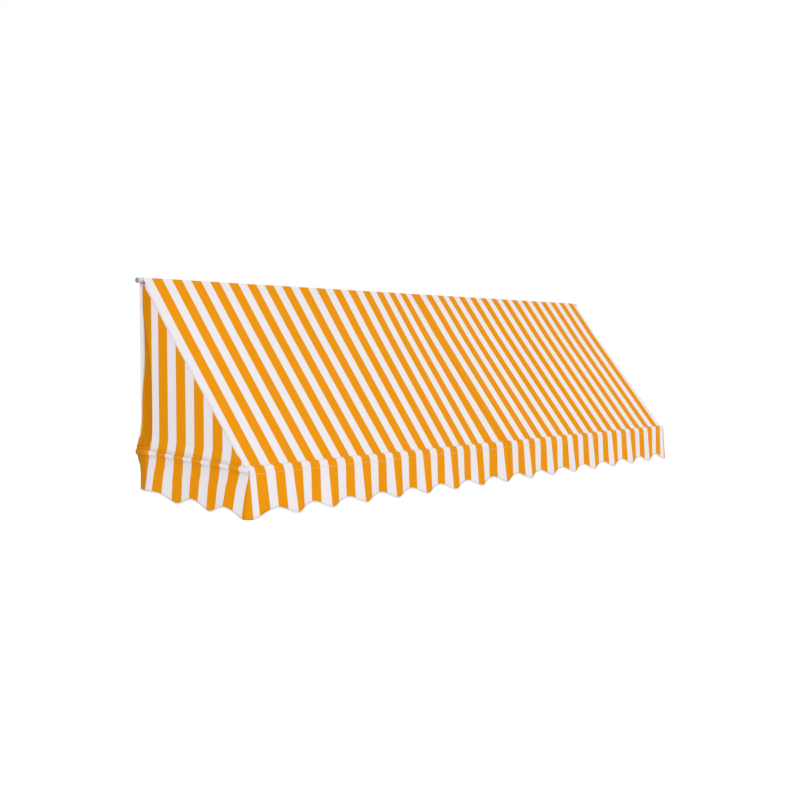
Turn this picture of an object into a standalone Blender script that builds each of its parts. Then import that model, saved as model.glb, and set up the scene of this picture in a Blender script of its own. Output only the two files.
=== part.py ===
"""Fixed-frame wall awning: a striped cloth canopy sewn over a bolted frame of round steel tube.

Frame of the part: X along the wall, +Z up, the wall is the plane y = 0 and the awning
stands out from it towards -Y. The origin is on the back face of the middle head bracket,
level with the head tube's axis. All sizes are in metres.
"""

import math

import bmesh
import bpy
from mathutils import Matrix, Vector

# Driving sizes of the frame
CANOPY_WIDTH = 4.0
PROJECTION = 0.704  # head tube axis to front rail axis, along -Y
RAIL_DROP = 0.868  # head tube axis down to the front rail axis
ARM_ROOT_DROP = 0.816  # head tube axis down to the arm axis, below the head tube
TUBE_RADIUS = 0.0125
TUBE_WALL = 0.0012
HEAD_STUB = 0.025  # bare head tube beyond the cloth at each end
ELBOW_BEND = 0.040
ELBOW_LAND = 0.003  # straight shoulder between the bend and the tube's end
SPIGOT_REACH = 0.060
JOINER_LENGTH = 0.220
SPIGOT_CLEARANCE = 0.0003
CONTACT_GAP = 0.0003

# Wall brackets
PLATE_THICKNESS = 0.004
BRACKET_WIDTH = 0.050
BRACKET_INSET = 0.20  # canopy edge in to the middle of each outer head bracket
BRACKET_TOP = 0.0095
BRACKET_FOOT = 0.092
CRADLE_WALL = 0.003
CRADLE_LIP_ANGLE = math.radians(215)  # 0 is towards the wall, the lip ends in front of the tube
COLLAR_WALL = 0.0047
COLLAR_LENGTH = 0.045
FLANGE_HEIGHT = 0.096
FLANGE_REACH = 0.062  # arm axis to the flange's inner edge
FLANGE_EDGE = 0.018  # arm axis to the flange's outer edge

# Fasteners
SCREW_RADIUS = 0.0030
SCREW_LENGTH = 0.036
HEAD_RADIUS = 0.0060
HEAD_HEIGHT = 0.0032
SCREW_CLEARANCE = 0.0004
CLAMP_SCREW_LENGTH = 0.010
CLAMP_OFFSET = 0.012  # along X from the bracket's middle, clear of the tube's joint
GRUB_RADIUS = 0.0030
GRUB_SINK = 0.0008  # below the collar's surface, clear of the cloth
RIVET_RADIUS = 0.0020
RIVET_HEAD_RADIUS = 0.0038
RIVET_HEAD_HEIGHT = 0.0012
HEAD_SCREW_ROWS = (0.034, 0.076)  # below the head tube's axis
FLANGE_SCREW_ROW = 0.033  # above and below the arm axis
FLANGE_SCREW_INSET = 0.044  # arm axis to the flange screws
JOINT_RIVET_INSET = 0.060
ELBOW_RIVET_INSET = 0.030

# Cloth
CLOTH = 0.0012
SLEEVE_CLEARANCE = 0.0004
STRIPE_PITCH = 0.12338
SEAM_STRIPE = 16.7  # pitches from the left edge to the seam between the two widths
EDGE_LIP = 0.012
EDGE_LIP_START = 0.052  # down the slope from the head tube's axis
EDGE_LIP_STOP = 0.062  # up the slope from the rail's axis
EDGE_BAND = 0.020  # strip of cloth beside the lip that keeps its own cells
HEM = 0.012
SLEEVE_END_INSET = 0.004
NOTCH_CLEARANCE = 0.002
HEAD_SLEEVE = 0.034  # down the slope from the head tube's axis to its stitch line
RAIL_SLEEVE = 0.020  # up the slope from the rail's axis to its stitch line
RAIL_STITCH = 0.0195  # below the rail's axis
SEAM_MARGIN = 0.0045  # arm sleeve's stitch lines beyond its radius, above and below
CORNER_KEEP = 0.55  # share of the room under the canopy that the arm sleeve keeps at the corner
ARM_SLEEVE_STOP = 0.085  # the inner arm strip ends this far behind the rail axis
ROOT_EASE = 0.035  # length over which the arm sleeve narrows past the wall collar
PLEAT_WIDTH = 0.066
PLEAT_FOLD = 0.010
PLEAT_INSET = 0.012
PLEAT_SEAM = 0.065  # flat stretch of the panel at its upper and lower seams

# Valance
VALANCE_DROP = 0.216  # rail or arm axis down to the tips of the scallops
SCALLOP_DEPTH = 0.036
FIRST_SCALLOP = 2.3 * STRIPE_PITCH  # the wider scallop beside the left corner
EVEN_SCALLOPS = 15  # the scallops after it, up to the right corner
SIDE_SCALLOP = 0.235
STEPS_PER_SCALLOP = 8
VALANCE_ROWS = 4
FRONT_LEAN = (0.042, 0.017, 0.007)  # outwards at the tips: left end, middle, right end
SIDE_LEAN = (0.014, 0.012, 0.022)  # outwards at the tips: wall, middle, front
LEAN_RUN = 0.45  # length from each end over which the front lean changes
GUSSET_TOP = 0.024  # below the rail axis to the top of the corner gusset

# Worked out from the above
INNER_RADIUS = TUBE_RADIUS - TUBE_WALL
SPIGOT_RADIUS = INNER_RADIUS - SPIGOT_CLEARANCE
LAYER = CLOTH + CONTACT_GAP
WRAP_RADIUS = TUBE_RADIUS + SLEEVE_CLEARANCE + CLOTH / 2
COLLAR_RADIUS = TUBE_RADIUS + SPIGOT_CLEARANCE + COLLAR_WALL
COLLAR_WRAP = COLLAR_RADIUS + SLEEVE_CLEARANCE + CLOTH / 2
HALF_WIDTH = CANOPY_WIDTH / 2
BRACKET_SPREAD = HALF_WIDTH - BRACKET_INSET
SCALLOP_PERIOD = (CANOPY_WIDTH - FIRST_SCALLOP) / EVEN_SCALLOPS
ARM_X = HALF_WIDTH - LAYER
HEAD_Y = -(PLATE_THICKNESS + CONTACT_GAP + TUBE_RADIUS)
RAIL_Y = HEAD_Y - PROJECTION
RAIL_Z = -RAIL_DROP
CLOTH_BACK = -(PLATE_THICKNESS + 2 * CONTACT_GAP)
SLOPE_LENGTH = math.hypot(PROJECTION, RAIL_DROP)
SLOPE_ANGLE = math.atan2(RAIL_DROP, PROJECTION)
ARM_ANGLE = math.atan2(RAIL_DROP - ARM_ROOT_DROP, PROJECTION)
ARM_TAN = math.tan(ARM_ANGLE)
HEAD_AXIS = Vector((HEAD_Y, 0.0))
RAIL_AXIS = Vector((RAIL_Y, RAIL_Z))
DOWN_SLOPE = Vector((-math.cos(SLOPE_ANGLE), -math.sin(SLOPE_ANGLE)))
OUT_OF_SLOPE = Vector((-math.sin(SLOPE_ANGLE), math.cos(SLOPE_ANGLE)))
ALONG_ARM = Vector((0.0, -math.cos(ARM_ANGLE), -math.sin(ARM_ANGLE)))
ARM_UP = Vector((0.0, -math.sin(ARM_ANGLE), math.cos(ARM_ANGLE)))
SEAM_X = -HALF_WIDTH + SEAM_STRIPE * STRIPE_PITCH
NOTCH_HALF = BRACKET_WIDTH / 2 + NOTCH_CLEARANCE
ELBOW_END = ELBOW_BEND + ELBOW_LAND + CONTACT_GAP  # corner to the end of each tube
BRACKET_PLACES = (-BRACKET_SPREAD, 0.0, BRACKET_SPREAD)
CORNER_REACH = -RAIL_Y + WRAP_RADIUS  # wall to the front valance
SIDE_REACH = CORNER_REACH - LAYER  # wall to the front edge of the side valance
HEAD_RIVET_SIDE = Vector((0.0, *DOWN_SLOPE))  # where the head sleeve stands off the tube
RAIL_RIVET_SIDE = -HEAD_RIVET_SIDE  # where the rail sleeve stands off the tube

for old in list(bpy.data.objects):
    bpy.data.objects.remove(old, do_unlink=True)

PARTS = bpy.data.collections.new("fabric_awning")
CUTTERS = bpy.data.collections.new("cutters")
bpy.context.scene.collection.children.link(PARTS)
bpy.context.scene.collection.children.link(CUTTERS)


def finish(name, colour, roughness, metallic=0.0):
    """One Principled material; called once for each part."""
    material = bpy.data.materials.new(name)
    material.use_nodes = True
    shader = material.node_tree.nodes["Principled BSDF"]
    shader.inputs["Base Color"].default_value = (*colour, 1.0)
    shader.inputs["Roughness"].default_value = roughness
    shader.inputs["Metallic"].default_value = metallic
    return material


def tube_finish(name):
    return finish(name + "_white_coat", (0.72, 0.72, 0.74), 0.35)


def zinc_finish(name):
    return finish(name + "_zinc", (0.60, 0.61, 0.63), 0.38, 0.9)


def plastic_finish(name):
    return finish(name + "_grey_plastic", (0.12, 0.12, 0.13), 0.5)


def stripe_finish(name):
    return finish(name + "_orange_cloth", (0.82, 0.31, 0.006), 0.85)


def pale_finish(name):
    return finish(name + "_white_cloth", (0.78, 0.76, 0.78), 0.85)


def add_object(name, mesh, material, collection=PARTS):
    """An object of this mesh in the collection of the parts."""
    obj = bpy.data.objects.new(name, mesh)
    collection.objects.link(obj)
    if material is not None:
        mesh.materials.append(material)
    return obj


def mesh_from(name, bm):
    mesh = bpy.data.meshes.new(name)
    bmesh.ops.recalc_face_normals(bm, faces=bm.faces)
    bm.to_mesh(mesh)
    bm.free()
    return mesh


def smooth(obj, angle=40.0):
    obj.data.shade_smooth()
    obj.data.set_sharp_from_angle(angle=math.radians(angle))


def facing(axis):
    """The turn that takes local +Z onto axis."""
    return Vector(axis).to_track_quat("Z", "Y").to_matrix().to_4x4()


def turned(name, profile, steps, place, axis, material, closed=False):
    """A profile of (radius, height) points, top to bottom down its outer side, spun round axis."""
    mesh = bpy.data.meshes.new(name)
    count = len(profile)
    edges = [(i, i + 1) for i in range(count - 1)]
    if closed:
        edges.append((count - 1, 0))
    mesh.from_pydata([(radius, 0.0, height) for radius, height in profile], edges, [])
    obj = add_object(name, mesh, material)
    screw = obj.modifiers.new("turn", "SCREW")
    screw.steps = steps
    screw.render_steps = steps
    screw.use_merge_vertices = True
    screw.merge_threshold = 0.00001
    screw.use_smooth_shade = True
    obj.matrix_world = Matrix.Translation(place) @ facing(axis)
    return obj


def hollow_tube(name, start, end, outer, inner, steps, material):
    """A round tube between two points."""
    start, end = Vector(start), Vector(end)
    length = (end - start).length
    profile = [(outer, length), (outer, 0.0), (inner, 0.0), (inner, length)]
    return turned(name, profile, steps, start, end - start, material, closed=True)


def pan_screw(name, seat, axis, length, material):
    """A screw whose head sits on the seat and whose shank points against axis."""
    profile = [
        (0.0, HEAD_HEIGHT),
        (HEAD_RADIUS * 0.62, HEAD_HEIGHT * 0.86),
        (HEAD_RADIUS, HEAD_HEIGHT * 0.35),
        (HEAD_RADIUS, 0.0),
        (SCREW_RADIUS, 0.0),
        (SCREW_RADIUS, SCREW_RADIUS * 1.6 - length),
        (0.0, -length),
    ]
    return turned(name, profile, 12, seat, axis, material)


def rivet(name, seat, axis, reach, material):
    """A blind rivet: a low domed head on the tube and a shank through both walls."""
    profile = [
        (0.0, RIVET_HEAD_HEIGHT),
        (RIVET_HEAD_RADIUS * 0.7, RIVET_HEAD_HEIGHT * 0.75),
        (RIVET_HEAD_RADIUS, CONTACT_GAP),
        (RIVET_RADIUS, CONTACT_GAP),
        (RIVET_RADIUS, -reach),
        (0.0, -reach),
    ]
    return turned(name, profile, 10, seat, axis, material)


def cylinder_cutter(name, place, axis, radius, length):
    """A round cutter centred on place."""
    bm = bmesh.new()
    bmesh.ops.create_cone(bm, cap_ends=True, segments=16, radius1=radius, radius2=radius, depth=length)
    obj = add_object(name, mesh_from(name, bm), None, CUTTERS)
    obj.matrix_world = Matrix.Translation(place) @ facing(axis)
    obj.hide_render = True
    obj.display_type = "WIRE"
    return obj


def box_object(name, low, high, material, collection=PARTS):
    """A box between two corners."""
    low, high = Vector(low), Vector(high)
    bm = bmesh.new()
    bmesh.ops.create_cube(bm, size=1.0)
    bmesh.ops.scale(bm, vec=high - low, verts=bm.verts)
    bmesh.ops.translate(bm, vec=(low + high) / 2, verts=bm.verts)
    return add_object(name, mesh_from(name, bm), material, collection)


def boolean(obj, other, operation):
    modifier = obj.modifiers.new(operation.lower() + "_" + other.name, "BOOLEAN")
    modifier.operation = operation
    modifier.solver = "EXACT"
    modifier.object = other
    other.hide_render = True
    other.display_type = "WIRE"
    return modifier


def drill(obj, place, axis, radius, length):
    """A round hole through obj."""
    boolean(obj, cylinder_cutter(obj.name + "_hole", place, axis, radius, length), "DIFFERENCE")


def arm_point(side, along, out=0.0, up=0.0):
    """A point by the arm: along it from the wall plane, out sideways, up square to it."""
    root = Vector((side * ARM_X, 0.0, -ARM_ROOT_DROP - HEAD_Y * ARM_TAN))
    return root + ALONG_ARM * along + ARM_UP * up + Vector((side * out, 0.0, 0.0))


ARM_LENGTH = -RAIL_Y / math.cos(ARM_ANGLE)
SIDES = (("left", -1), ("right", 1))


def make_head_tube():
    """Two tube sections, the sleeve inside their joint and a plug in each open end."""
    tube_end = HALF_WIDTH + HEAD_STUB
    tubes = []
    axis_mid = Vector((0.0, HEAD_Y, 0.0))
    half_gap = Vector((CONTACT_GAP / 2, 0.0, 0.0))
    for side_name, side in SIDES:
        name = "head_tube_" + side_name
        outer_end = Vector((side * tube_end, HEAD_Y, 0.0))
        tube = hollow_tube(name, axis_mid + side * half_gap, outer_end, TUBE_RADIUS, INNER_RADIUS, 24,
                           tube_finish(name))
        drill_joint(tube, Vector((side * JOINT_RIVET_INSET, HEAD_Y, 0.0)), HEAD_RIVET_SIDE)
        make_plug("head_tube_plug_" + side_name, outer_end, side)
        tubes.append(tube)
    half = JOINER_LENGTH / 2
    joiner = hollow_tube("head_tube_joiner", axis_mid - Vector((half, 0, 0)), axis_mid + Vector((half, 0, 0)),
                         SPIGOT_RADIUS, SPIGOT_RADIUS - TUBE_WALL, 24, zinc_finish("head_tube_joiner"))
    for side_name, side in SIDES:
        joint_rivet("head_joint_rivet_" + side_name, joiner,
                    Vector((side * JOINT_RIVET_INSET, HEAD_Y, 0.0)), HEAD_RIVET_SIDE)
    return tubes, joiner


def drill_joint(tube, place, axis):
    """The rivet's hole in a tube wall, on the side that axis points to."""
    axis = axis.normalized()
    drill(tube, place + axis * TUBE_RADIUS, axis, RIVET_RADIUS + SCREW_CLEARANCE, 4 * TUBE_WALL)


def joint_rivet(name, inner_piece, place, axis):
    """A rivet through a tube into the sleeve or spigot inside it."""
    axis = axis.normalized()
    drill_joint(inner_piece, place - axis * (TUBE_RADIUS - SPIGOT_RADIUS), axis)
    rivet(name, place + axis * TUBE_RADIUS, axis, 2 * TUBE_WALL + SPIGOT_CLEARANCE, zinc_finish(name))


def make_plug(name, tube_end, side):
    """A flanged plastic plug in the head tube's open end."""
    flange = 0.002
    stem = 0.016
    profile = [
        (0.0, flange),
        (TUBE_RADIUS - 0.0008, flange),
        (TUBE_RADIUS, flange - 0.0008),
        (TUBE_RADIUS, CONTACT_GAP),
        (SPIGOT_RADIUS, CONTACT_GAP),
        (SPIGOT_RADIUS, -stem),
        (0.0, -stem),
    ]
    return turned(name, profile, 24, tube_end, (side, 0, 0), plastic_finish(name))


def cradle_outline():
    """The head bracket's side view as (y, z) points: wall plate and the cradle under the tube."""
    seat = TUBE_RADIUS + CONTACT_GAP
    outer = seat + CRADLE_WALL
    meets = -math.acos(seat / outer)
    last = -(math.tau - CRADLE_LIP_ANGLE)
    steps = 12
    points = [(0.0, -BRACKET_FOOT), (0.0, BRACKET_TOP), (-PLATE_THICKNESS, BRACKET_TOP)]
    for i in range(steps + 1):
        angle = last * i / steps
        points.append((HEAD_Y + seat * math.cos(angle), seat * math.sin(angle)))
    for i in range(steps + 1):
        angle = last + (meets - last) * i / steps
        points.append((HEAD_Y + outer * math.cos(angle), outer * math.sin(angle)))
    points.append((-PLATE_THICKNESS, -BRACKET_FOOT))
    return points


def extruded_outline(name, points, width, material):
    """A flat outline of (y, z) points as a 2D curve, given width along X, turned into a mesh."""
    curve = bpy.data.curves.new(name, "CURVE")
    curve.dimensions = "2D"
    curve.fill_mode = "BOTH"
    curve.extrude = width / 2
    spline = curve.splines.new("POLY")
    spline.points.add(len(points) - 1)
    for point, (y, z) in zip(spline.points, points):
        point.co = (y, z, 0.0, 1.0)
    spline.use_cyclic_u = True
    guide = bpy.data.objects.new(name + "_outline", curve)
    PARTS.objects.link(guide)
    guide.matrix_world = Matrix(((0, 0, 1, 0), (1, 0, 0, 0), (0, 1, 0, 0), (0, 0, 0, 1)))
    return welded_mesh(guide, name, material)


def welded_mesh(guide, name, material):
    """The curve as a closed mesh object in its place."""
    bpy.context.view_layer.update()
    graph = bpy.context.evaluated_depsgraph_get()
    mesh = bpy.data.meshes.new_from_object(guide.evaluated_get(graph))
    bm = bmesh.new()
    bm.from_mesh(mesh)
    bmesh.ops.remove_doubles(bm, verts=bm.verts, dist=0.00001)
    bmesh.ops.recalc_face_normals(bm, faces=bm.faces)
    bm.to_mesh(mesh)
    bm.free()
    mesh.materials.clear()
    obj = add_object(name, mesh, material)
    obj.matrix_world = guide.matrix_world.copy()
    bpy.data.objects.remove(guide, do_unlink=True)
    return obj


def make_head_brackets(tubes, joiner):
    """Three wall brackets that carry the head tube, each with two wall screws and a clamp screw."""
    for label, x in zip(("left", "middle", "right"), BRACKET_PLACES):
        name = "head_bracket_" + label
        bracket = extruded_outline(name, cradle_outline(), BRACKET_WIDTH, zinc_finish(name))
        bracket.location.x = x
        clamped = [tubes[0]] if x + CLAMP_OFFSET < 0 else [tubes[1]]
        if abs(x) < JOINER_LENGTH / 2:
            clamped.append(joiner)
        for row, below in zip(("upper", "lower"), HEAD_SCREW_ROWS):
            seat = Vector((x, -PLATE_THICKNESS, -below))
            drill(bracket, seat, (0, -1, 0), SCREW_RADIUS + SCREW_CLEARANCE, 4 * PLATE_THICKNESS)
            screw_name = f"head_bracket_screw_{label}_{row}"
            pan_screw(screw_name, seat - Vector((0, CONTACT_GAP, 0)), (0, -1, 0), SCREW_LENGTH,
                      zinc_finish(screw_name))
        make_clamp_screw(label, bracket, clamped, x + CLAMP_OFFSET)


def make_clamp_screw(label, bracket, tubes, x):
    """A screw from below through the cradle into the head tube, which can't lift or turn then."""
    name = "head_clamp_screw_" + label
    down = Vector((0, 0, -1))
    under = TUBE_RADIUS + CONTACT_GAP + CRADLE_WALL
    for piece, depth in [(bracket, under - CRADLE_WALL / 2)] + [(tube, TUBE_RADIUS) for tube in tubes]:
        drill(piece, Vector((x, HEAD_Y, -depth)), down, SCREW_RADIUS + SCREW_CLEARANCE, 3 * CRADLE_WALL)
    seat = Vector((x, HEAD_Y, -under - CONTACT_GAP))
    pan_screw(name, seat, down, CLAMP_SCREW_LENGTH, zinc_finish(name))


def make_front_rail():
    """Two rail sections between the corner elbows, with the sleeve inside their joint."""
    mid = Vector((0.0, RAIL_Y, RAIL_Z))
    for side_name, side in SIDES:
        name = "front_rail_" + side_name
        inner_end = mid + Vector((side * CONTACT_GAP / 2, 0, 0))
        outer_end = mid + Vector((side * (ARM_X - ELBOW_END), 0, 0))
        rail = hollow_tube(name, inner_end, outer_end, TUBE_RADIUS, INNER_RADIUS, 24, tube_finish(name))
        drill_joint(rail, mid + Vector((side * JOINT_RIVET_INSET, 0, 0)), RAIL_RIVET_SIDE)
        drill_joint(rail, outer_end - Vector((side * ELBOW_RIVET_INSET, 0, 0)), RAIL_RIVET_SIDE)
    half = Vector((JOINER_LENGTH / 2, 0, 0))
    joiner = hollow_tube("front_rail_joiner", mid - half, mid + half, SPIGOT_RADIUS,
                         SPIGOT_RADIUS - TUBE_WALL, 24, zinc_finish("front_rail_joiner"))
    for side_name, side in SIDES:
        joint_rivet("rail_joint_rivet_" + side_name, joiner,
                    mid + Vector((side * JOINT_RIVET_INSET, 0, 0)), RAIL_RIVET_SIDE)


def swept(name, stations, material):
    """A round bar through the stations, each a point and the bar's radius there, as a closed mesh."""
    curve = bpy.data.curves.new(name, "CURVE")
    curve.dimensions = "3D"
    curve.bevel_depth = TUBE_RADIUS
    curve.bevel_resolution = 4
    curve.use_fill_caps = True
    spline = curve.splines.new("POLY")
    spline.points.add(len(stations) - 1)
    for point, (place, radius) in zip(spline.points, stations):
        point.co = (*place, 1.0)
        point.radius = radius / TUBE_RADIUS
    guide = bpy.data.objects.new(name + "_path", curve)
    PARTS.objects.link(guide)
    return welded_mesh(guide, name, material)


def make_elbow(side_name, side):
    """A corner elbow: the bend has the tube's diameter and its two spigots fit inside arm and rail."""
    name = "corner_elbow_" + side_name
    corner = arm_point(side, ARM_LENGTH)
    inwards = Vector((-side, 0, 0))
    centre = corner - ALONG_ARM * ELBOW_BEND + inwards * ELBOW_BEND
    steps = 6
    bend = []
    for i in range(steps + 1):
        angle = math.pi / 2 * i / steps
        bend.append(centre - inwards * ELBOW_BEND * math.cos(angle) + ALONG_ARM * ELBOW_BEND * math.sin(angle))
    shoulder = ((ELBOW_LAND, TUBE_RADIUS), (ELBOW_LAND + CONTACT_GAP / 3, SPIGOT_RADIUS), (SPIGOT_REACH, SPIGOT_RADIUS))
    stations = [(bend[0] - ALONG_ARM * past, radius) for past, radius in reversed(shoulder)]
    stations += [(point, TUBE_RADIUS) for point in bend]
    stations += [(bend[-1] + inwards * past, radius) for past, radius in shoulder]
    elbow = swept(name, stations, plastic_finish(name))
    arm_rivet = arm_point(side, ARM_LENGTH - ELBOW_END - ELBOW_RIVET_INSET)
    joint_rivet("elbow_arm_rivet_" + side_name, elbow, arm_rivet, inwards)
    rail_rivet = Vector((side * (ARM_X - ELBOW_END - ELBOW_RIVET_INSET), RAIL_Y, RAIL_Z))
    joint_rivet("elbow_rail_rivet_" + side_name, elbow, rail_rivet, RAIL_RIVET_SIDE)


def make_arm(side_name, side):
    """A side arm from its wall socket to the corner elbow."""
    name = "side_arm_" + side_name
    start = arm_point(side, PLATE_THICKNESS + 2 * TUBE_WALL)
    end = arm_point(side, ARM_LENGTH - ELBOW_END)
    arm = hollow_tube(name, start, end, TUBE_RADIUS, INNER_RADIUS, 24, tube_finish(name))
    rivet_place = arm_point(side, ARM_LENGTH - ELBOW_END - ELBOW_RIVET_INSET)
    drill_joint(arm, rivet_place, Vector((-side, 0, 0)))


def make_wall_socket(side_name, side):
    """A flange on the wall with a collar that holds the arm, its grub screw and two wall screws."""
    name = "arm_socket_" + side_name
    centre = arm_point(side, PLATE_THICKNESS)
    outer_x = side * (ARM_X + FLANGE_EDGE)
    inner_x = side * (ARM_X - FLANGE_REACH)
    low = Vector((min(outer_x, inner_x), -PLATE_THICKNESS, centre.z - FLANGE_HEIGHT / 2))
    high = Vector((max(outer_x, inner_x), 0.0, centre.z + FLANGE_HEIGHT / 2))
    socket = box_object(name, low, high, zinc_finish(name))
    collar = hollow_tube(name + "_collar", arm_point(side, PLATE_THICKNESS / 2),
                         arm_point(side, PLATE_THICKNESS + COLLAR_LENGTH), COLLAR_RADIUS,
                         TUBE_RADIUS + SPIGOT_CLEARANCE, 28, None)
    PARTS.objects.unlink(collar)
    CUTTERS.objects.link(collar)
    boolean(socket, collar, "UNION")
    grub_place = arm_point(side, PLATE_THICKNESS + COLLAR_LENGTH * 0.6)
    inwards = Vector((-side, 0, 0))
    drill(socket, grub_place + inwards * COLLAR_RADIUS, inwards, GRUB_RADIUS + SCREW_CLEARANCE, 0.02)
    grub_name = "arm_grub_screw_" + side_name
    grub_length = COLLAR_WALL - GRUB_SINK
    grub = [(0.0, 0.0), (GRUB_RADIUS, 0.0), (GRUB_RADIUS, -grub_length), (0.0, -grub_length)]
    grub_seat = grub_place + inwards * (COLLAR_RADIUS - GRUB_SINK)
    turned(grub_name, grub, 10, grub_seat, inwards, zinc_finish(grub_name))
    for row, offset in (("upper", FLANGE_SCREW_ROW), ("lower", -FLANGE_SCREW_ROW)):
        seat = Vector((side * (ARM_X - FLANGE_SCREW_INSET), -PLATE_THICKNESS, centre.z + offset))
        drill(socket, seat, (0, -1, 0), SCREW_RADIUS + SCREW_CLEARANCE, 4 * PLATE_THICKNESS)
        screw_name = f"arm_socket_screw_{side_name}_{row}"
        pan_screw(screw_name, seat - Vector((0, CONTACT_GAP, 0)), (0, -1, 0), SCREW_LENGTH,
                  zinc_finish(screw_name))


def cloth_sheet(name, columns, rows, place, material, skip=None, lip=None):
    """A sheet of cloth: a grid whose points go where place(column, row) says, then thickened.

    skip(column, row) leaves a cell out; lip is (edge column, column beside it, first row,
    last row, vector), an edge that is turned over by the vector.
    """
    bm = bmesh.new()
    bmesh.ops.create_grid(bm, x_segments=columns, y_segments=rows, size=1.0)
    index = {}
    for vert in bm.verts:
        column = round((vert.co.x + 1) / 2 * columns)
        row = round((vert.co.y + 1) / 2 * rows)
        index[vert] = (column, row)
    if skip:
        doomed = []
        for face in bm.faces:
            column = min(index[vert][0] for vert in face.verts)
            row = min(index[vert][1] for vert in face.verts)
            if skip(column, row):
                doomed.append(face)
        bmesh.ops.delete(bm, geom=doomed, context="FACES")
    for vert in bm.verts:
        vert.co = place(*index[vert])
    if lip:
        lip_column, beside, first, last, vector = lip
        edges = []
        for edge in bm.edges:
            (a, row_a), (b, row_b) = (index[vert] for vert in edge.verts)
            edge.seam = a == b == beside
            if a == b == lip_column and first <= min(row_a, row_b) and max(row_a, row_b) <= last:
                edges.append(edge)
        made = bmesh.ops.extrude_edge_only(bm, edges=edges)
        moved = [item for item in made["geom"] if isinstance(item, bmesh.types.BMVert)]
        bmesh.ops.translate(bm, vec=vector, verts=moved)
    obj = add_object(name, mesh_from(name, bm), material)
    planar = obj.modifiers.new("join_flat_cells", "DECIMATE")
    planar.decimate_type = "DISSOLVE"
    planar.angle_limit = math.radians(0.3)
    planar.delimit = {"SEAM"}
    thick = obj.modifiers.new("cloth_thickness", "SOLIDIFY")
    thick.thickness = CLOTH
    thick.offset = 0.0
    thick.use_even_offset = True
    smooth(obj, 30.0)
    return obj


def tangent_angle(point, radius, turn):
    """Where a straight run from point first touches a circle round the origin, as an angle."""
    reach = math.acos(radius / point.length)
    return math.atan2(point.y, point.x) + turn * reach


def arc(centre, first, second, radius, start, end, steps):
    """Points round centre, from start to end, in the axes first and second."""
    points = []
    for i in range(steps + 1):
        angle = start + (end - start) * i / steps
        points.append(centre + (first * math.cos(angle) + second * math.sin(angle)) * radius)
    return points


def slope_point(along, out):
    return HEAD_AXIS + DOWN_SLOPE * along + OUT_OF_SLOPE * out


def blend(value):
    """0 to 1 with a soft start and end."""
    value = min(max(value, 0.0), 1.0)
    return value * value * (3 - 2 * value)


def front_lean(x):
    """How far the front valance's tips stand out at x."""
    left, middle, right = FRONT_LEAN
    near_left = 1 - blend((x + HALF_WIDTH) / LEAN_RUN)
    near_right = 1 - blend((HALF_WIDTH - x) / LEAN_RUN)
    return middle + (left - middle) * near_left + (right - middle) * near_right


def side_lean(along):
    """How far the side valance's tips stand out at this distance from the wall."""
    wall, middle, front = SIDE_LEAN
    share = along / -RAIL_Y
    if share < 0.5:
        return wall + (middle - wall) * blend(2 * share)
    return middle + (front - middle) * blend(2 * share - 1)


def scallop_drop(phase):
    """The valance's drop below its tube; the phase counts scallops from a tip."""
    return VALANCE_DROP - SCALLOP_DEPTH * (1 - math.cos(math.tau * phase)) / 2


def front_drop(x):
    """The front valance's drop at x; both corners are tips."""
    run = x + HALF_WIDTH
    if run < FIRST_SCALLOP:
        return scallop_drop(run / FIRST_SCALLOP)
    return scallop_drop((run - FIRST_SCALLOP) / SCALLOP_PERIOD)


def side_drop(along):
    """The side valance's drop at this distance from the wall; the front corner is a tip."""
    return scallop_drop((CORNER_REACH - along) / SIDE_SCALLOP)


def front_marks():
    """Places along X that divide each front scallop evenly."""
    marks = [-HALF_WIDTH + FIRST_SCALLOP * i / STEPS_PER_SCALLOP for i in range(STEPS_PER_SCALLOP)]
    step = SCALLOP_PERIOD / STEPS_PER_SCALLOP
    even = EVEN_SCALLOPS * STEPS_PER_SCALLOP
    return marks + [-HALF_WIDTH + FIRST_SCALLOP + step * i for i in range(even)]


def side_marks():
    """Distances from the wall that divide each side scallop evenly."""
    step = SIDE_SCALLOP / STEPS_PER_SCALLOP
    return [CORNER_REACH - step * i for i in range(math.ceil(CORNER_REACH / step))]


def columns_between(low, high, marks, needed=()):
    """The marks from low to high, with the needed places among them."""
    spacing = SIDE_SCALLOP / STEPS_PER_SCALLOP / 4
    fixed = [low, high] + [place for place in needed if low < place < high]
    free = [mark for mark in marks if low < mark < high]
    return sorted(fixed + [mark for mark in free if all(abs(mark - place) > spacing for place in fixed)])


def canopy_profile():
    """The canopy's section from the head sleeve's hem to the rail's front, and where the slope starts.

    The slope is drawn tight, so it lies in line with both tubes' axes and each sleeve stands
    out on both sides of it.
    """
    upper, lower = LAYER / 2, -LAYER / 2
    leaves = tangent_angle(Vector((HEAD_SLEEVE, lower)), WRAP_RADIUS, -1)
    returns = tangent_angle(Vector((HEAD_SLEEVE, upper)), WRAP_RADIUS, 1) - math.tau
    points = [slope_point(HEAD_SLEEVE + HEM, lower), slope_point(HEAD_SLEEVE, lower)]
    points += arc(HEAD_AXIS, DOWN_SLOPE, OUT_OF_SLOPE, WRAP_RADIUS, leaves, returns, 14)
    first_slope_row = len(points)
    points.append(slope_point(HEAD_SLEEVE, upper))
    points.append(slope_point(EDGE_LIP_START, upper))
    points.append(slope_point(SLOPE_LENGTH - EDGE_LIP_STOP, upper))
    points.append(slope_point(SLOPE_LENGTH - RAIL_SLEEVE, upper))
    points += rail_arc(upper, WRAP_RADIUS, 6)
    return points, first_slope_row


def rail_arc(out, radius, steps):
    """Round the rail, from where cloth coming down the slope first touches it to the rail's front."""
    meets = tangent_angle(Vector((-RAIL_SLEEVE, out)), radius, -1) % math.tau
    return arc(RAIL_AXIS, DOWN_SLOPE, OUT_OF_SLOPE, radius, meets, SLOPE_ANGLE, steps)


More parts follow.
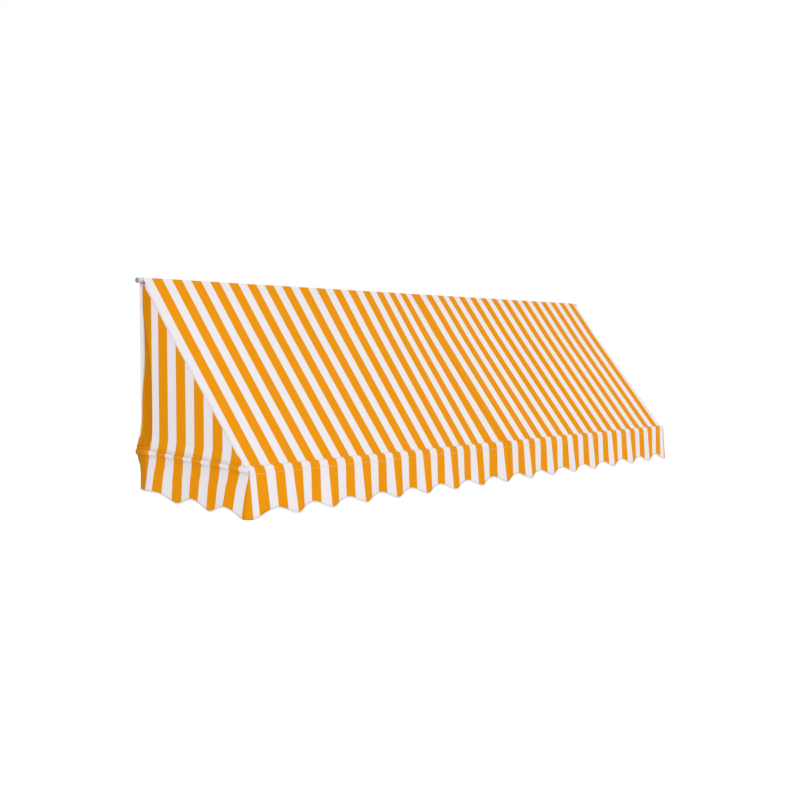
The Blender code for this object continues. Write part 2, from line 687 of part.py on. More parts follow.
def make_canopy(side_name, low, high, outer):
    """One cloth width: head sleeve, slope, over the rail and down as the front valance."""
    profile, first_slope = canopy_profile()
    notches = []
    for x in BRACKET_PLACES:
        notches += [x - NOTCH_HALF, x + NOTCH_HALF]
    columns = columns_between(low, high, front_marks(), notches + [outer - math.copysign(EDGE_BAND, outer)])
    wrap_rows = first_slope - 1
    notch_rows = wrap_rows - 4
    top = RAIL_Z

    def place(column, row):
        x = columns[column]
        if row < len(profile):
            if row <= wrap_rows and x == outer:
                x -= math.copysign(SLEEVE_END_INSET, outer)
            return Vector((x, profile[row].x, profile[row].y))
        share = (row - len(profile) + 1) / VALANCE_ROWS
        drop = front_drop(x) * share
        return Vector((x, RAIL_Y - WRAP_RADIUS - front_lean(x) * share, top - drop))

    def skip(column, row):
        middle = (columns[column] + columns[column + 1]) / 2
        return row < notch_rows and any(abs(middle - x) < NOTCH_HALF for x in BRACKET_PLACES)

    edge, beside = (0, 1) if outer < 0 else (len(columns) - 1, len(columns) - 2)
    lip = (edge, beside, first_slope + 1, first_slope + 2, Vector((0, *(-OUT_OF_SLOPE * EDGE_LIP))))
    name = "canopy_width_" + side_name
    cloth_sheet(name, len(columns) - 1, len(profile) - 1 + VALANCE_ROWS, place,
                stripe_finish(name), skip, lip)


def make_rail_pocket():
    """The strip under the canopy that closes the sleeve round the front rail."""
    inner = WRAP_RADIUS - LAYER
    out = -LAYER / 2
    first = tangent_angle(Vector((-RAIL_SLEEVE, out)), WRAP_RADIUS, 1)
    below = Vector((inner, -RAIL_STITCH))
    last = tangent_angle(below, WRAP_RADIUS, -1)
    forward, upward = Vector((-1.0, 0.0)), Vector((0.0, 1.0))
    touch = DOWN_SLOPE * math.cos(first) + OUT_OF_SLOPE * math.sin(first)
    start = math.atan2(touch.y, -touch.x)
    points = [slope_point(SLOPE_LENGTH - RAIL_SLEEVE - HEM, out), slope_point(SLOPE_LENGTH - RAIL_SLEEVE, out)]
    points += arc(RAIL_AXIS, forward, upward, WRAP_RADIUS, start % math.tau, last % math.tau, 5)
    points.append(RAIL_AXIS + forward * inner + upward * -RAIL_STITCH)
    lean = FRONT_LEAN[2] / VALANCE_DROP * HEM / 2
    points.append(RAIL_AXIS + forward * (inner + lean) + upward * -(RAIL_STITCH + HEM))
    reach = ARM_X - 2 * ELBOW_BEND

    def place(column, row):
        return Vector((reach * (2 * column - 1), points[row].x, points[row].y))

    cloth_sheet("rail_pocket", 1, len(points) - 1, place, pale_finish("rail_pocket"))


def height_at(outline, y):
    """Height at y of an outline of (y, z) points that run outwards from the wall."""
    for (near_y, near_z), (far_y, far_z) in zip(outline, outline[1:]):
        if far_y <= y <= near_y:
            return near_z + (far_z - near_z) * (y - near_y) / (far_y - near_y)
    return outline[-1][1]


def canopy_underside():
    """The canopy's underside as (y, z) points outwards: head sleeve, slope and over the rail."""
    clear = WRAP_RADIUS + LAYER
    below = -1.5 * LAYER
    by_wall = SLOPE_ANGLE - math.pi + math.acos((CLOTH_BACK - HEAD_Y) / clear)
    leaves = tangent_angle(Vector((HEAD_SLEEVE, below)), clear, -1)
    points = arc(HEAD_AXIS, DOWN_SLOPE, OUT_OF_SLOPE, clear, by_wall, leaves, 4)
    points.append(slope_point(HEAD_SLEEVE, below))
    points.append(slope_point(SLOPE_LENGTH - RAIL_SLEEVE, below))
    return points + rail_arc(below, WRAP_RADIUS - LAYER, 6)


def arm_height(y):
    """Height of the arm's axis at y."""
    return -ARM_ROOT_DROP + (y - HEAD_Y) * ARM_TAN


def make_side_panel(side_name, side):
    """The side wall of cloth from the slope down to the arm, with a pleat along the wall."""
    underside = canopy_underside()
    rise = math.tan(SLOPE_ANGLE) - ARM_TAN
    below_slope = 1.5 * LAYER / math.cos(SLOPE_ANGLE)
    front = RAIL_Y + (arm_seam(SIDE_REACH) + CLOTH + below_slope) / rise
    fold = -PLEAT_WIDTH
    stitch = slope_point(HEAD_SLEEVE, 0.0).x
    places = [CLOTH_BACK, (CLOTH_BACK + HEAD_Y) / 2, HEAD_Y, (HEAD_Y + stitch) / 2, stitch]
    places += [fold, fold - PLEAT_FOLD]
    start = places[-1]
    forward_cells = 6
    for i in range(1, forward_cells + 1):
        places.append(start + (front - start) * i / forward_cells)
    rows = 10

    def place(column, row):
        y = places[column]
        top = height_at(underside, y)
        bottom = arm_height(y) + arm_seam(-y)
        spare = min(PLEAT_SEAM, (top - bottom) / 4)
        share = (row - 1) / (rows - 2)
        height = bottom + spare + (top - bottom - 2 * spare) * share
        if row in (0, rows):
            height = bottom if row == 0 else top
        inset = 0.0
        if y > fold - PLEAT_FOLD / 2 and 1 < row < rows - 1:
            inset = PLEAT_INSET * math.sin(math.pi * share) ** 0.7
        return Vector((side * (ARM_X - inset), y, height))

    name = "side_panel_" + side_name
    cloth_sheet(name, len(places) - 1, rows, place, stripe_finish(name))


def sleeve_radius(along):
    """The arm sleeve's radius: wide over the wall collar and close on the tube."""
    past = along - PLATE_THICKNESS - COLLAR_LENGTH - CLOTH
    return COLLAR_WRAP + (WRAP_RADIUS - COLLAR_WRAP) * blend(past / ROOT_EASE)


def arm_seam(along):
    """How far the arm sleeve's stitch lines lie above and below the arm's axis."""
    return sleeve_radius(along) + SEAM_MARGIN


def sleeve_section(radius, seam_out):
    """Half of the arm sleeve's section as (out, up) points, from the upper stitch line to the lower."""
    upper = Vector((seam_out, radius + SEAM_MARGIN))
    reach = tangent_angle(upper, radius, -1)
    points = [upper]
    for i in range(7):
        angle = reach - 2 * reach * i / 6
        points.append(Vector((radius * math.cos(angle), radius * math.sin(angle))))
    points.append(Vector((seam_out, -radius - SEAM_MARGIN)))
    return points


def arm_columns(stop):
    """Places along the side, from the wall, for the cloth over the arm."""
    start = -CLOTH_BACK
    collar_end = PLATE_THICKNESS + COLLAR_LENGTH + CLOTH
    needed = [collar_end, collar_end + ROOT_EASE / 2, collar_end + ROOT_EASE]
    needed += [-RAIL_Y + WRAP_RADIUS * share for share in (-2.0, -1.0, 0.0, 0.5, 0.75)]
    return columns_between(start, stop, side_marks(), needed)


def make_side_valance(side_name, side):
    """The outer half of the arm sleeve and the scalloped valance that hangs from it."""
    columns = arm_columns(SIDE_REACH)
    sleeve_rows = len(sleeve_section(WRAP_RADIUS, LAYER))
    underside = canopy_underside()

    def place(column, row):
        y = -columns[column]
        axis_z = arm_height(y)
        seam = arm_seam(-y)
        room = max(height_at(underside, y) - CLOTH - axis_z, 2 * CLOTH)
        section = sleeve_section(sleeve_radius(-y), LAYER)
        if row == 0:
            out, up = LAYER, seam + HEM
        elif row <= sleeve_rows:
            out, up = section[row - 1]
        else:
            share = (row - sleeve_rows) / VALANCE_ROWS
            out = LAYER + side_lean(-y) * share
            up = -seam - (side_drop(-y) - seam) * share
        if up > 0:
            up = min(up, room * (CORNER_KEEP + (1 - CORNER_KEEP) * up / (seam + HEM)))
        return Vector((side * (ARM_X + out), y, axis_z + up))

    name = "side_valance_" + side_name
    cloth_sheet(name, len(columns) - 1, sleeve_rows + VALANCE_ROWS, place, stripe_finish(name))


def make_arm_pocket(side_name, side):
    """The inner strip that closes the sleeve round the arm."""
    columns = arm_columns(-RAIL_Y - ARM_SLEEVE_STOP)
    sleeve_rows = len(sleeve_section(WRAP_RADIUS, LAYER))

    def place(column, row):
        y = -columns[column]
        section = sleeve_section(sleeve_radius(-y), LAYER)
        if row == 0:
            out, up = LAYER, arm_seam(-y) + HEM
        elif row <= sleeve_rows:
            out, up = section[row - 1]
            if row == sleeve_rows:
                out = 0.0
        else:
            out, up = 0.0, -arm_seam(-y) - HEM
        return Vector((side * (ARM_X - out), y, arm_height(y) + up))

    name = "arm_pocket_" + side_name
    cloth_sheet(name, len(columns) - 1, sleeve_rows + 1, place, pale_finish(name))


def make_corner_gusset(side_name, side):
    """The narrow wedge that joins the front and side valances and lets their corner flare."""
    lean = FRONT_LEAN[0] if side < 0 else FRONT_LEAN[2]
    end_drop = front_drop(side * HALF_WIDTH)
    rows = 3
    edge_gap = CONTACT_GAP + CLOTH / 4
    seam = arm_seam(SIDE_REACH)

    def place(column, row):
        drop = GUSSET_TOP + (end_drop - GUSSET_TOP) * row / rows
        flare = SIDE_LEAN[2] * (drop - seam) / (side_drop(SIDE_REACH) - seam)
        by_side = Vector((HALF_WIDTH + flare, -SIDE_REACH - edge_gap, RAIL_Z - drop))
        by_front = Vector((HALF_WIDTH + edge_gap, -CORNER_REACH - lean * drop / end_drop, RAIL_Z - drop))
        ridge = (by_side + by_front) / 2 + Vector((CLOTH, -CLOTH, 0))
        point = (by_side, ridge, by_front)[column]
        return Vector((side * point.x, point.y, point.z))

    name = "corner_gusset_" + side_name
    cloth_sheet(name, 2, rows, place, stripe_finish(name))


def build():
    tubes, joiner = make_head_tube()
    make_head_brackets(tubes, joiner)
    make_front_rail()
    make_canopy("left", -HALF_WIDTH, SEAM_X - CONTACT_GAP / 2, -HALF_WIDTH)
    make_canopy("right", SEAM_X + CONTACT_GAP / 2, HALF_WIDTH, HALF_WIDTH)
    make_rail_pocket()
    for side_name, side in SIDES:
        make_arm(side_name, side)
        make_elbow(side_name, side)
        make_wall_socket(side_name, side)
        make_side_panel(side_name, side)
        make_side_valance(side_name, side)
        make_arm_pocket(side_name, side)
        make_corner_gusset(side_name, side)


build()
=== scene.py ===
"""Dressed model of the fixed-frame wall awning: striped cloth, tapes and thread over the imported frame.

Frame: X along the wall, +Z up, the wall is the plane y = 0, the awning stands out towards -Y. Metres.
"""

import logging
import math
from dataclasses import dataclass, field
from enum import Enum
from typing import Any, Callable, Optional, Union

import bmesh
import bpy
from mathutils import Matrix, Vector, noise


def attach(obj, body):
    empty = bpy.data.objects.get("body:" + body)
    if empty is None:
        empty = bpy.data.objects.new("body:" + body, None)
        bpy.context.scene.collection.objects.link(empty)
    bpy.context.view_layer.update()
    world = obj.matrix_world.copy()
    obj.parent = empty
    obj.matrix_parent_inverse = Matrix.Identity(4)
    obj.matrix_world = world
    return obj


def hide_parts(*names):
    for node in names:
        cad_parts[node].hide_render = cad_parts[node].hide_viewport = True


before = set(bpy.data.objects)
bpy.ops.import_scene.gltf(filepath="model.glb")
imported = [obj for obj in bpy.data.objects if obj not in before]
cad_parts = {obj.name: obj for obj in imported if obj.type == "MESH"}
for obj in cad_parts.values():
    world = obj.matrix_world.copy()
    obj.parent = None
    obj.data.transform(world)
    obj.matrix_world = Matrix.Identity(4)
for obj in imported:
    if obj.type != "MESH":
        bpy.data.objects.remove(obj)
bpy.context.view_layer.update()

log = logging.getLogger("awning")
Colour = tuple[float, float, float]
Placer = Callable[[int, int], Vector]
Printer = Callable[[int, int], tuple[float, float]]


# Shared curves and sizes


def soft_step(value: float) -> float:
    """0 to 1 with a soft start and end."""
    value = min(max(value, 0.0), 1.0)
    return value * value * (3 - 2 * value)


def between(low: float, high: float, steps: int) -> list[float]:
    """Evenly spaced values from low to high, both included."""
    return [low + (high - low) * i / steps for i in range(steps + 1)]


def tangent_angle(point: Vector, radius: float, turn: int) -> float:
    """Where a straight run from point first touches a circle round the origin, as an angle.

    Args:
        point: start of the run, as seen from the circle's middle.
        radius: the circle's radius.
        turn: 1 or -1, the side on which the run passes the circle.

    Returns:
        The angle of the touching point.
    """
    reach = math.acos(radius / point.length)
    return math.atan2(point.y, point.x) + turn * reach


def arc_points(centre: Vector, first: Vector, second: Vector, radius: float, start: float, end: float,
               steps: int) -> list[Vector]:
    """Points round centre from the start angle to the end angle, in the axes first and second."""
    return [centre + (first * math.cos(a) + second * math.sin(a)) * radius for a in between(start, end, steps)]


def table_value(table: tuple[tuple[float, float], ...], at: float) -> float:
    """The value at a place of a table of (place, value), straight between its lines."""
    for (left, low), (right, high) in zip(table, table[1:]):
        if at <= right:
            share = min(max((at - left) / (right - left), 0.0), 1.0)
            return low + (high - low) * share
    return table[-1][1]


def wander(seed: float, *place: float) -> float:
    """Smooth, repeatable unevenness between about -1 and 1."""
    spots = list(place) + [0.0] * (2 - len(place))
    return noise.noise(Vector((spots[0], spots[1], seed)))


@dataclass(frozen=True)
class AwningSizes:
    """Sizes of the awning: the part's own, and those of its cloth as it hangs."""

    half_width: float = 2.0
    projection: float = 0.704
    rail_drop: float = 0.868
    arm_root_drop: float = 0.816
    head_y: float = -0.0168
    cloth: float = 0.0012
    layer: float = 0.0015
    wrap: float = 0.0135
    collar_wrap: float = 0.0185
    collar_end: float = 0.0502
    root_ease: float = 0.035
    head_sleeve: float = 0.034
    rail_sleeve: float = 0.020
    rail_stitch: float = 0.0195
    hem: float = 0.012
    seam_margin: float = 0.0014
    cloth_back: float = -0.0046
    seam_x: float = 0.0604
    lip: float = 0.008
    rail_cap: float = 0.0125
    lap: float = 0.010
    lip_start: float = 0.052
    lip_stop: float = 0.030
    lip_taper: float = 0.050
    head_run: float = 0.30
    head_stitch: float = 0.090
    stripe_pitch: float = 0.12338
    orange_share: float = 0.5242
    bracket_places: tuple[float, ...] = (-1.8, 0.0, 1.8)
    notch_half: float = 0.027
    valance_drop: float = 0.216
    scallop_depth: float = 0.036
    first_scallop: float = 0.283774
    even_scallops: int = 15
    side_scallop: float = 0.235
    front_lean: tuple[float, float, float] = (0.042, 0.017, 0.007)
    side_lean: tuple[tuple[float, float], ...] = (
        (0.0, 0.006), (0.06, 0.034), (0.12, 0.026), (0.25, 0.016), (0.37, 0.012), (0.50, 0.030), (0.62, 0.034),
        (0.7343, 0.040))
    corner_flare: float = 0.018
    bulge: float = 0.020
    bulge_drop: float = 0.795
    fold_depth: float = 0.0095
    fold_ease: float = 0.0030
    lean_run: float = 0.45

    @property
    def rail_y(self) -> float:
        """Depth of the front rail's axis."""
        return self.head_y - self.projection

    @property
    def slope_length(self) -> float:
        """Head tube axis to rail axis, down the slope."""
        return math.hypot(self.projection, self.rail_drop)

    @property
    def slope_angle(self) -> float:
        """Steepness of the slope."""
        return math.atan2(self.rail_drop, self.projection)

    @property
    def arm_tan(self) -> float:
        """Fall of the arm for each metre out from the wall."""
        return (self.rail_drop - self.arm_root_drop) / self.projection

    @property
    def arm_x(self) -> float:
        """Sideways place of the arm axes."""
        return self.half_width - self.layer

    @property
    def down(self) -> Vector:
        """Down the slope, as (y, z)."""
        return Vector((-math.cos(self.slope_angle), -math.sin(self.slope_angle)))

    @property
    def out(self) -> Vector:
        """Square out of the slope, as (y, z)."""
        return Vector((-math.sin(self.slope_angle), math.cos(self.slope_angle)))

    @property
    def head_axis(self) -> Vector:
        """The head tube's axis, as (y, z)."""
        return Vector((self.head_y, 0.0))

    @property
    def rail_axis(self) -> Vector:
        """The front rail's axis, as (y, z)."""
        return Vector((self.rail_y, -self.rail_drop))

    @property
    def corner_reach(self) -> float:
        """Wall to the front valance."""
        return self.wrap - self.rail_y

    @property
    def side_reach(self) -> float:
        """Wall to the front edge of the side valance."""
        return self.corner_reach - self.layer

    def on_slope(self, along: float, out: float) -> Vector:
        """The (y, z) point at a distance down the slope and square out of it."""
        return self.head_axis + self.down * along + self.out * out

    def arm_height(self, y: float) -> float:
        """Height of the arm's axis at y."""
        return -self.arm_root_drop + (y - self.head_y) * self.arm_tan

    def sleeve_radius(self, along: float) -> float:
        """The arm sleeve's radius: wide over the wall collar and close on the tube."""
        past = (along - self.collar_end) / self.root_ease
        return self.collar_wrap + (self.wrap - self.collar_wrap) * soft_step(past)

    def arm_seam(self, along: float) -> float:
        """How far the arm sleeve's stitch lines lie above and below the arm's axis."""
        return self.sleeve_radius(along) + self.seam_margin

    def root_bulge(self, along: float, z: float) -> float:
        """How far the slack cloth stands out sideways over the arm's root."""
        height = math.exp(-((z + self.bulge_drop) / 0.085) ** 2)
        return self.bulge * height * (1 - soft_step(along / 0.12))

    def lean_at(self, x: float) -> float:
        """How far the front valance's tips stand out at x."""
        left, middle, right = self.front_lean
        near_left = 1 - soft_step((x + self.half_width) / self.lean_run)
        near_right = 1 - soft_step((self.half_width - x) / self.lean_run)
        return middle + (left - middle) * near_left + (right - middle) * near_right

    def side_lean_at(self, along: float) -> float:
        """How far the side valance's tips stand out at a distance from the wall."""
        return table_value(self.side_lean, along)

    def front_phase(self, x: float) -> float:
        """Scallops counted along the front from a tip."""
        run = x + self.half_width
        period = (2 * self.half_width - self.first_scallop) / self.even_scallops
        return run / self.first_scallop if run < self.first_scallop else (run - self.first_scallop) / period

    def side_phase(self, along: float) -> float:
        """Scallops counted back from the front corner, which is a tip."""
        return (self.corner_reach - along) / self.side_scallop

    def flare_at(self, x: float, share: float) -> float:
        """How far the front valance's ends spread sideways, at a share of its drop."""
        near = 1 - soft_step((self.half_width - abs(x)) / 0.13)
        return math.copysign(self.corner_flare * share * near * (1.0 if x < 0 else 0.1), x)

    def scallop(self, phase: float) -> float:
        """The valance's drop at a phase that counts scallops from a tip."""
        return self.valance_drop - self.scallop_depth * ((1 - math.cos(math.tau * phase)) / 2) ** 0.8

    def side_drop(self, along: float) -> float:
        """The side valance's drop; behind its last crest it runs level to the wall."""
        phase = self.side_phase(along)
        level = 2.5 + 0.12 * soft_step((phase - 2.5) / 0.6)
        return self.scallop(min(phase, level))

    def fold(self, phase: float) -> float:
        """How the valance's folds swing: out at each tip, quickly in after it and slowly out again."""
        turn = phase % 1.0
        return math.cos(math.tau * (turn + 0.12 * math.sin(math.tau * turn)))


SIZES = AwningSizes()


class Side(Enum):
    """The two ends of the awning, seen from the front."""

    LEFT = -1
    RIGHT = 1

    @property
    def word(self) -> str:
        """The side's word in node names."""
        return self.name.lower()


# Shader graph


@dataclass(frozen=True)
class NoiseLook:
    """A noise's scale for each metre, its detail and how it is stretched."""

    scale: float
    detail: float
    stretch: Colour = (1, 1, 1)


class Signal:
    """A shader socket whose Python operators add Math nodes."""

    def __init__(self, graph: "Graph", socket: bpy.types.NodeSocket) -> None:
        """Wraps the socket of a node in the graph."""
        self.graph = graph
        self.socket = socket

    def __add__(self, other: "Value") -> "Signal":
        """Sum."""
        return self.graph.maths("ADD", self, other)

    __radd__ = __add__

    def __mul__(self, other: "Value") -> "Signal":
        """Product."""
        return self.graph.maths("MULTIPLY", self, other)

    __rmul__ = __mul__

    def __sub__(self, other: "Value") -> "Signal":
        """Difference."""
        return self.graph.maths("SUBTRACT", self, other)

    def __rsub__(self, other: "Value") -> "Signal":
        """Difference, from a number."""
        return self.graph.maths("SUBTRACT", other, self)

    def __truediv__(self, other: "Value") -> "Signal":
        """Quotient."""
        return self.graph.maths("DIVIDE", self, other)

    def fraction(self) -> "Signal":
        """The part after the point."""
        return self.graph.maths("FRACT", self)

    def size(self) -> "Signal":
        """The value without its sign."""
        return self.graph.maths("ABSOLUTE", self)

    def sine(self) -> "Signal":
        """The sine."""
        return self.graph.maths("SINE", self)

    def clipped(self) -> "Signal":
        """The value held between 0 and 1."""
        return self.graph.maths("MINIMUM", self.graph.maths("MAXIMUM", self, 0.0), 1.0)


Value = Union[Signal, float]


class Graph:
    """A node tree that is filled by one method for any node."""

    def __init__(self, tree: bpy.types.NodeTree) -> None:
        """Takes the tree to fill."""
        self.tree = tree

    def node(self, kind: str, settings: Optional[dict[str, Any]] = None,
             inputs: Optional[dict[Any, Any]] = None) -> bpy.types.Node:
        """Adds a node.

        Args:
            kind: the node's type.
            settings: its properties, which are set first; "stops" fills a ramp with (place, colour).
            inputs: numbers, colours or signals for its sockets, by name or index.

        Returns:
            The new node.
        """
        made = self.tree.nodes.new(kind)
        for key, value in (settings or {}).items():
            if key == "stops":
                for element, (place, colour) in zip(made.color_ramp.elements, value):
                    element.position = place
                    element.color = (*colour, 1.0)
            else:
                setattr(made, key, value)
        for key, value in (inputs or {}).items():
            self.feed(made.inputs[key], value)
        return made

    def feed(self, socket: bpy.types.NodeSocket, value: Any) -> None:
        """Links a signal to the socket, or sets its own value."""
        if isinstance(value, Signal):
            self.tree.links.new(value.socket, socket)
        else:
            socket.default_value = value

    def take(self, node: bpy.types.Node, output: Any = 0) -> Signal:
        """One output of a node as a signal."""
        return Signal(self, node.outputs[output])

    def maths(self, operation: str, *values: Value) -> Signal:
        """A Math node on the values."""
        return self.take(self.node("ShaderNodeMath", {"operation": operation}, dict(enumerate(values))))

    def mixed(self, factor: Value, first: Any, second: Any, mode: str = "MIX") -> Signal:
        """A colour mix of first and second."""
        made = self.node("ShaderNodeMix", {"data_type": "RGBA", "blend_type": mode},
                         {0: factor, 6: first, 7: second})
        return self.take(made, 2)

    def noise(self, where: Signal, look: NoiseLook) -> Signal:
        """Noise around 0.5."""
        placed = self.node("ShaderNodeMapping", None, {"Vector": where, "Scale": look.stretch})
        made = self.node("ShaderNodeTexNoise", None, {"Vector": self.take(placed), "Scale": look.scale,
                                                      "Detail": look.detail, "Roughness": 0.55})
        return self.take(made, 0)

    def seen(self) -> Signal:
        """1 where the camera sees the surface, straight or by gloss or through glass."""
        path = self.node("ShaderNodeLightPath")
        return (self.take(path, "Is Camera Ray") + self.take(path, "Is Glossy Ray")
                + self.take(path, "Is Transmission Ray")).clipped()

    def bump(self, height: Signal, strength: float, distance: float) -> Signal:
        """A bump of the height in metres times distance."""
        return self.take(self.node("ShaderNodeBump", None,
                                   {"Strength": strength, "Distance": distance, "Height": height}))


def new_surface(name: str) -> tuple[bpy.types.Material, Graph, bpy.types.Node]:
    """A material with its graph and its Principled shader."""
    material = bpy.data.materials.new(name)
    material.use_nodes = True
    return material, Graph(material.node_tree), material.node_tree.nodes["Principled BSDF"]


def rgba(colour: Colour, factor: float = 1.0) -> tuple[float, float, float, float]:
    """A colour as a socket takes it, made lighter or darker by a factor."""
    return (colour[0] * factor, colour[1] * factor, colour[2] * factor, 1.0)


class Weave(Enum):
    """How a cloth is coloured."""

    STRIPED = "striped"
    ORANGE = "orange"
    WHITE = "white"


@dataclass(frozen=True)
class ClothFinish:
    """Solution-dyed awning cloth: plain weave, printed along its UV map in stripe pitches and metres."""

    name: str
    weave: Weave
    orange: Colour = (0.840, 0.304, 0.0028)
    white: Colour = (0.850, 0.812, 0.828)
    stripe_edge: float = 0.006
    yarn: float = 0.0009
    roughness: float = 0.86

    def build(self) -> bpy.types.Material:
        """Makes the material."""
        material, graph, shader = new_surface(self.name)
        uv = graph.take(graph.node("ShaderNodeUVMap", {"uv_map": "print"}))
        parts = graph.node("ShaderNodeSeparateXYZ", None, {0: uv})
        across, along = graph.take(parts, 0), graph.take(parts, 1)
        metres = across * SIZES.stripe_pitch
        threads = graph.take(graph.node("ShaderNodeCombineXYZ", None, {0: metres, 1: along}))
        slubs = graph.noise(threads, NoiseLook(900.0, 2.0, (1.0, 0.02, 1.0)))
        picks = graph.noise(threads, NoiseLook(900.0, 2.0, (0.02, 1.0, 1.0)))
        clouds = graph.noise(threads, NoiseLook(2.6, 3.0))
        orange = graph.mixed(clouds, rgba(self.orange, 0.965), rgba(self.orange, 1.035))
        white = graph.mixed(clouds, rgba(self.white, 0.98), rgba(self.white, 1.02))
        ragged = (slubs - 0.5) * 0.004
        place = (across + ragged).fraction()
        half = SIZES.orange_share / 2
        mask = ((half - (place - half).size()) / self.stripe_edge + 0.5).clipped()
        chosen = {Weave.STRIPED: mask, Weave.ORANGE: 1.0, Weave.WHITE: 0.0}[self.weave]
        base = graph.mixed(chosen, white, orange)
        # Painted shade: a per-point attribute darkens the colour in folds, creases and at stitch lines; the weave
        # grain it is multiplied with is real.
        tone = graph.take(graph.node("ShaderNodeAttribute", {"attribute_name": "tone"}), "Fac")
        grain = (slubs + picks - 1.0) * 0.10 + 1.0
        shade = graph.take(graph.node("ShaderNodeCombineXYZ", None, {0: tone * grain, 1: tone * grain,
                                                                     2: tone * grain}))
        graph.feed(shader.inputs["Base Color"], graph.mixed(1.0, base, shade, "MULTIPLY"))
        graph.feed(shader.inputs["Roughness"], self.roughness + (clouds - 0.5) * 0.08)
        turn = math.pi / self.yarn
        warp, weft = (metres * turn).sine(), (along * turn).sine()
        height = warp * weft + (slubs - 0.5) * 0.8 + (picks - 0.5) * 0.8
        graph.feed(shader.inputs["Normal"], graph.bump(height, 0.35, 0.00012))
        shader.inputs["Specular IOR Level"].default_value = 0.06
        return material


@dataclass(frozen=True)
class HardFinish:
    """A coat, plating, plastic or thread: patches change its colour and gloss, and a fine grain its relief."""

    name: str
    colour: Colour
    patches: NoiseLook
    grain: NoiseLook
    shades: tuple[float, float]
    gloss: tuple[float, float]
    relief: tuple[float, float]
    metallic: float = 0.0

    def build(self) -> bpy.types.Material:
        """Makes the material."""
        material, graph, shader = new_surface(self.name)
        where = graph.take(graph.node("ShaderNodeTexCoord"), "Object")
        grain = graph.noise(where, self.grain)
        patches = graph.noise(where, self.patches)
        dark, light = (rgba(self.colour, shade) for shade in self.shades)
        spread, roughness = self.gloss
        graph.feed(shader.inputs["Base Color"], graph.mixed(patches, dark, light))
        graph.feed(shader.inputs["Roughness"], (patches - 0.5) * spread + roughness)
        graph.feed(shader.inputs["Normal"], graph.bump(grain, *self.relief))
        shader.inputs["Metallic"].default_value = self.metallic
        return material


POWDER_COAT = HardFinish("tube_powder_coat", (0.60, 0.60, 0.64), NoiseLook(14.0, 4.0, (0.4, 1.0, 1.0)),
                         NoiseLook(620.0, 2.0), (0.94, 1.05), (0.25, 0.36), (0.25, 0.0002))
ZINC_PLATE = HardFinish("zinc_plated_steel", (0.60, 0.61, 0.63), NoiseLook(90.0, 3.0),
                        NoiseLook(700.0, 2.0, (0.05, 1.0, 1.0)), (0.82, 1.12), (0.3, 0.36), (0.2, 0.0001), 0.92)
GREY_PLASTIC = HardFinish("grey_moulded_plastic", (0.27, 0.27, 0.285), NoiseLook(40.0, 3.0),
                          NoiseLook(1500.0, 2.0), (0.85, 1.2), (0.2, 0.52), (0.3, 0.0001))
SEWING_THREAD = HardFinish("sewing_thread", (0.80, 0.72, 0.60), NoiseLook(1800.0, 1.0),
                           NoiseLook(1800.0, 1.0), (0.86, 1.1), (0.2, 0.7), (0.4, 0.0001))


# Cloth


def make_object(bm: bmesh.types.BMesh, name: str, material: bpy.types.Material) -> bpy.types.Object:
    """Turns the bmesh into an object at the origin, linked to the scene, and frees it."""
    mesh = bpy.data.meshes.new(name)
    bm.to_mesh(mesh)
    bm.free()
    mesh.materials.append(material)
    made = bpy.data.objects.new(name, mesh)
    bpy.context.scene.collection.objects.link(made)
    return made


@dataclass
class Cloth:
    """A woven sheet: a grid shaped in code, printed through its UV map and given its thickness."""

    name: str
    columns: int
    rows: int
    place: Placer
    printed: Printer
    material: bpy.types.Material
    # Painted shade: a factor for each point that darkens the cloth's colour.
    tone: Optional[Callable[[int, int], float]] = None
    skip: Optional[Callable[[int, int], bool]] = None
    thickness: float = 0.0010

    def build(self) -> bpy.types.Object:
        """Makes the sheet's object.

        Returns:
            The object, at the origin, riding on the frame.
        """
        bm = bmesh.new()
        layer = bm.loops.layers.uv.new("print")
        # Each point's painted shade factor, 1 where none is painted.
        painted_shade_layer = bm.verts.layers.float.new("tone")
        bmesh.ops.create_grid(bm, x_segments=self.columns, y_segments=self.rows, size=1.0)
        index = {vert: (round((vert.co.x + 1) / 2 * self.columns), round((vert.co.y + 1) / 2 * self.rows))
                 for vert in bm.verts}
        if self.skip:
            doomed = [face for face in bm.faces
                      if self.skip(min(index[v][0] for v in face.verts), min(index[v][1] for v in face.verts))]
            bmesh.ops.delete(bm, geom=doomed, context="FACES")
        prints = {vert: self.printed(*index[vert]) for vert in bm.verts}
        for face in bm.faces:
            face.smooth = True
            for loop in face.loops:
                loop[layer].uv = prints[loop.vert]
        for vert in bm.verts:
            vert[painted_shade_layer] = self.tone(*index[vert]) if self.tone else 1.0
            vert.co = self.place(*index[vert])
        bmesh.ops.recalc_face_normals(bm, faces=bm.faces)
        made = make_object(bm, self.name, self.material)
        thick = made.modifiers.new("cloth_thickness", "SOLIDIFY")
        thick.thickness = self.thickness
        thick.offset = 0.0
        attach(made, "root")
        return made


@dataclass
class ThreadLine:
    """A row of lockstitches along a path on the cloth."""

    name: str
    path: Callable[[float], Vector]
    length: float
    material: bpy.types.Material
    radius: float = 0.0006
    stitch: float = 0.0085
    gap: float = 0.0035

    def build(self) -> bpy.types.Object:
        """Makes one object of all the stitches.

        Returns:
            The object, at the origin, riding on the frame.
        """
        bm = bmesh.new()
        count = max(1, int(self.length / (self.stitch + self.gap)))
        for i in range(count):
            middle = (i + 0.5) / count
            half = self.stitch / self.length / 2
            start, end = self.path(middle - half), self.path(middle + half)
            turn = (end - start).to_track_quat("Z", "Y").to_matrix().to_4x4()
            where = Matrix.Translation((start + end) / 2) @ turn
            bmesh.ops.create_cone(bm, cap_ends=True, segments=6, radius1=self.radius, radius2=self.radius,
                                  depth=(end - start).length, matrix=where)
        for face in bm.faces:
            face.smooth = len(face.verts) == 4
        made = make_object(bm, self.name, self.material)
        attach(made, "root")
        return made


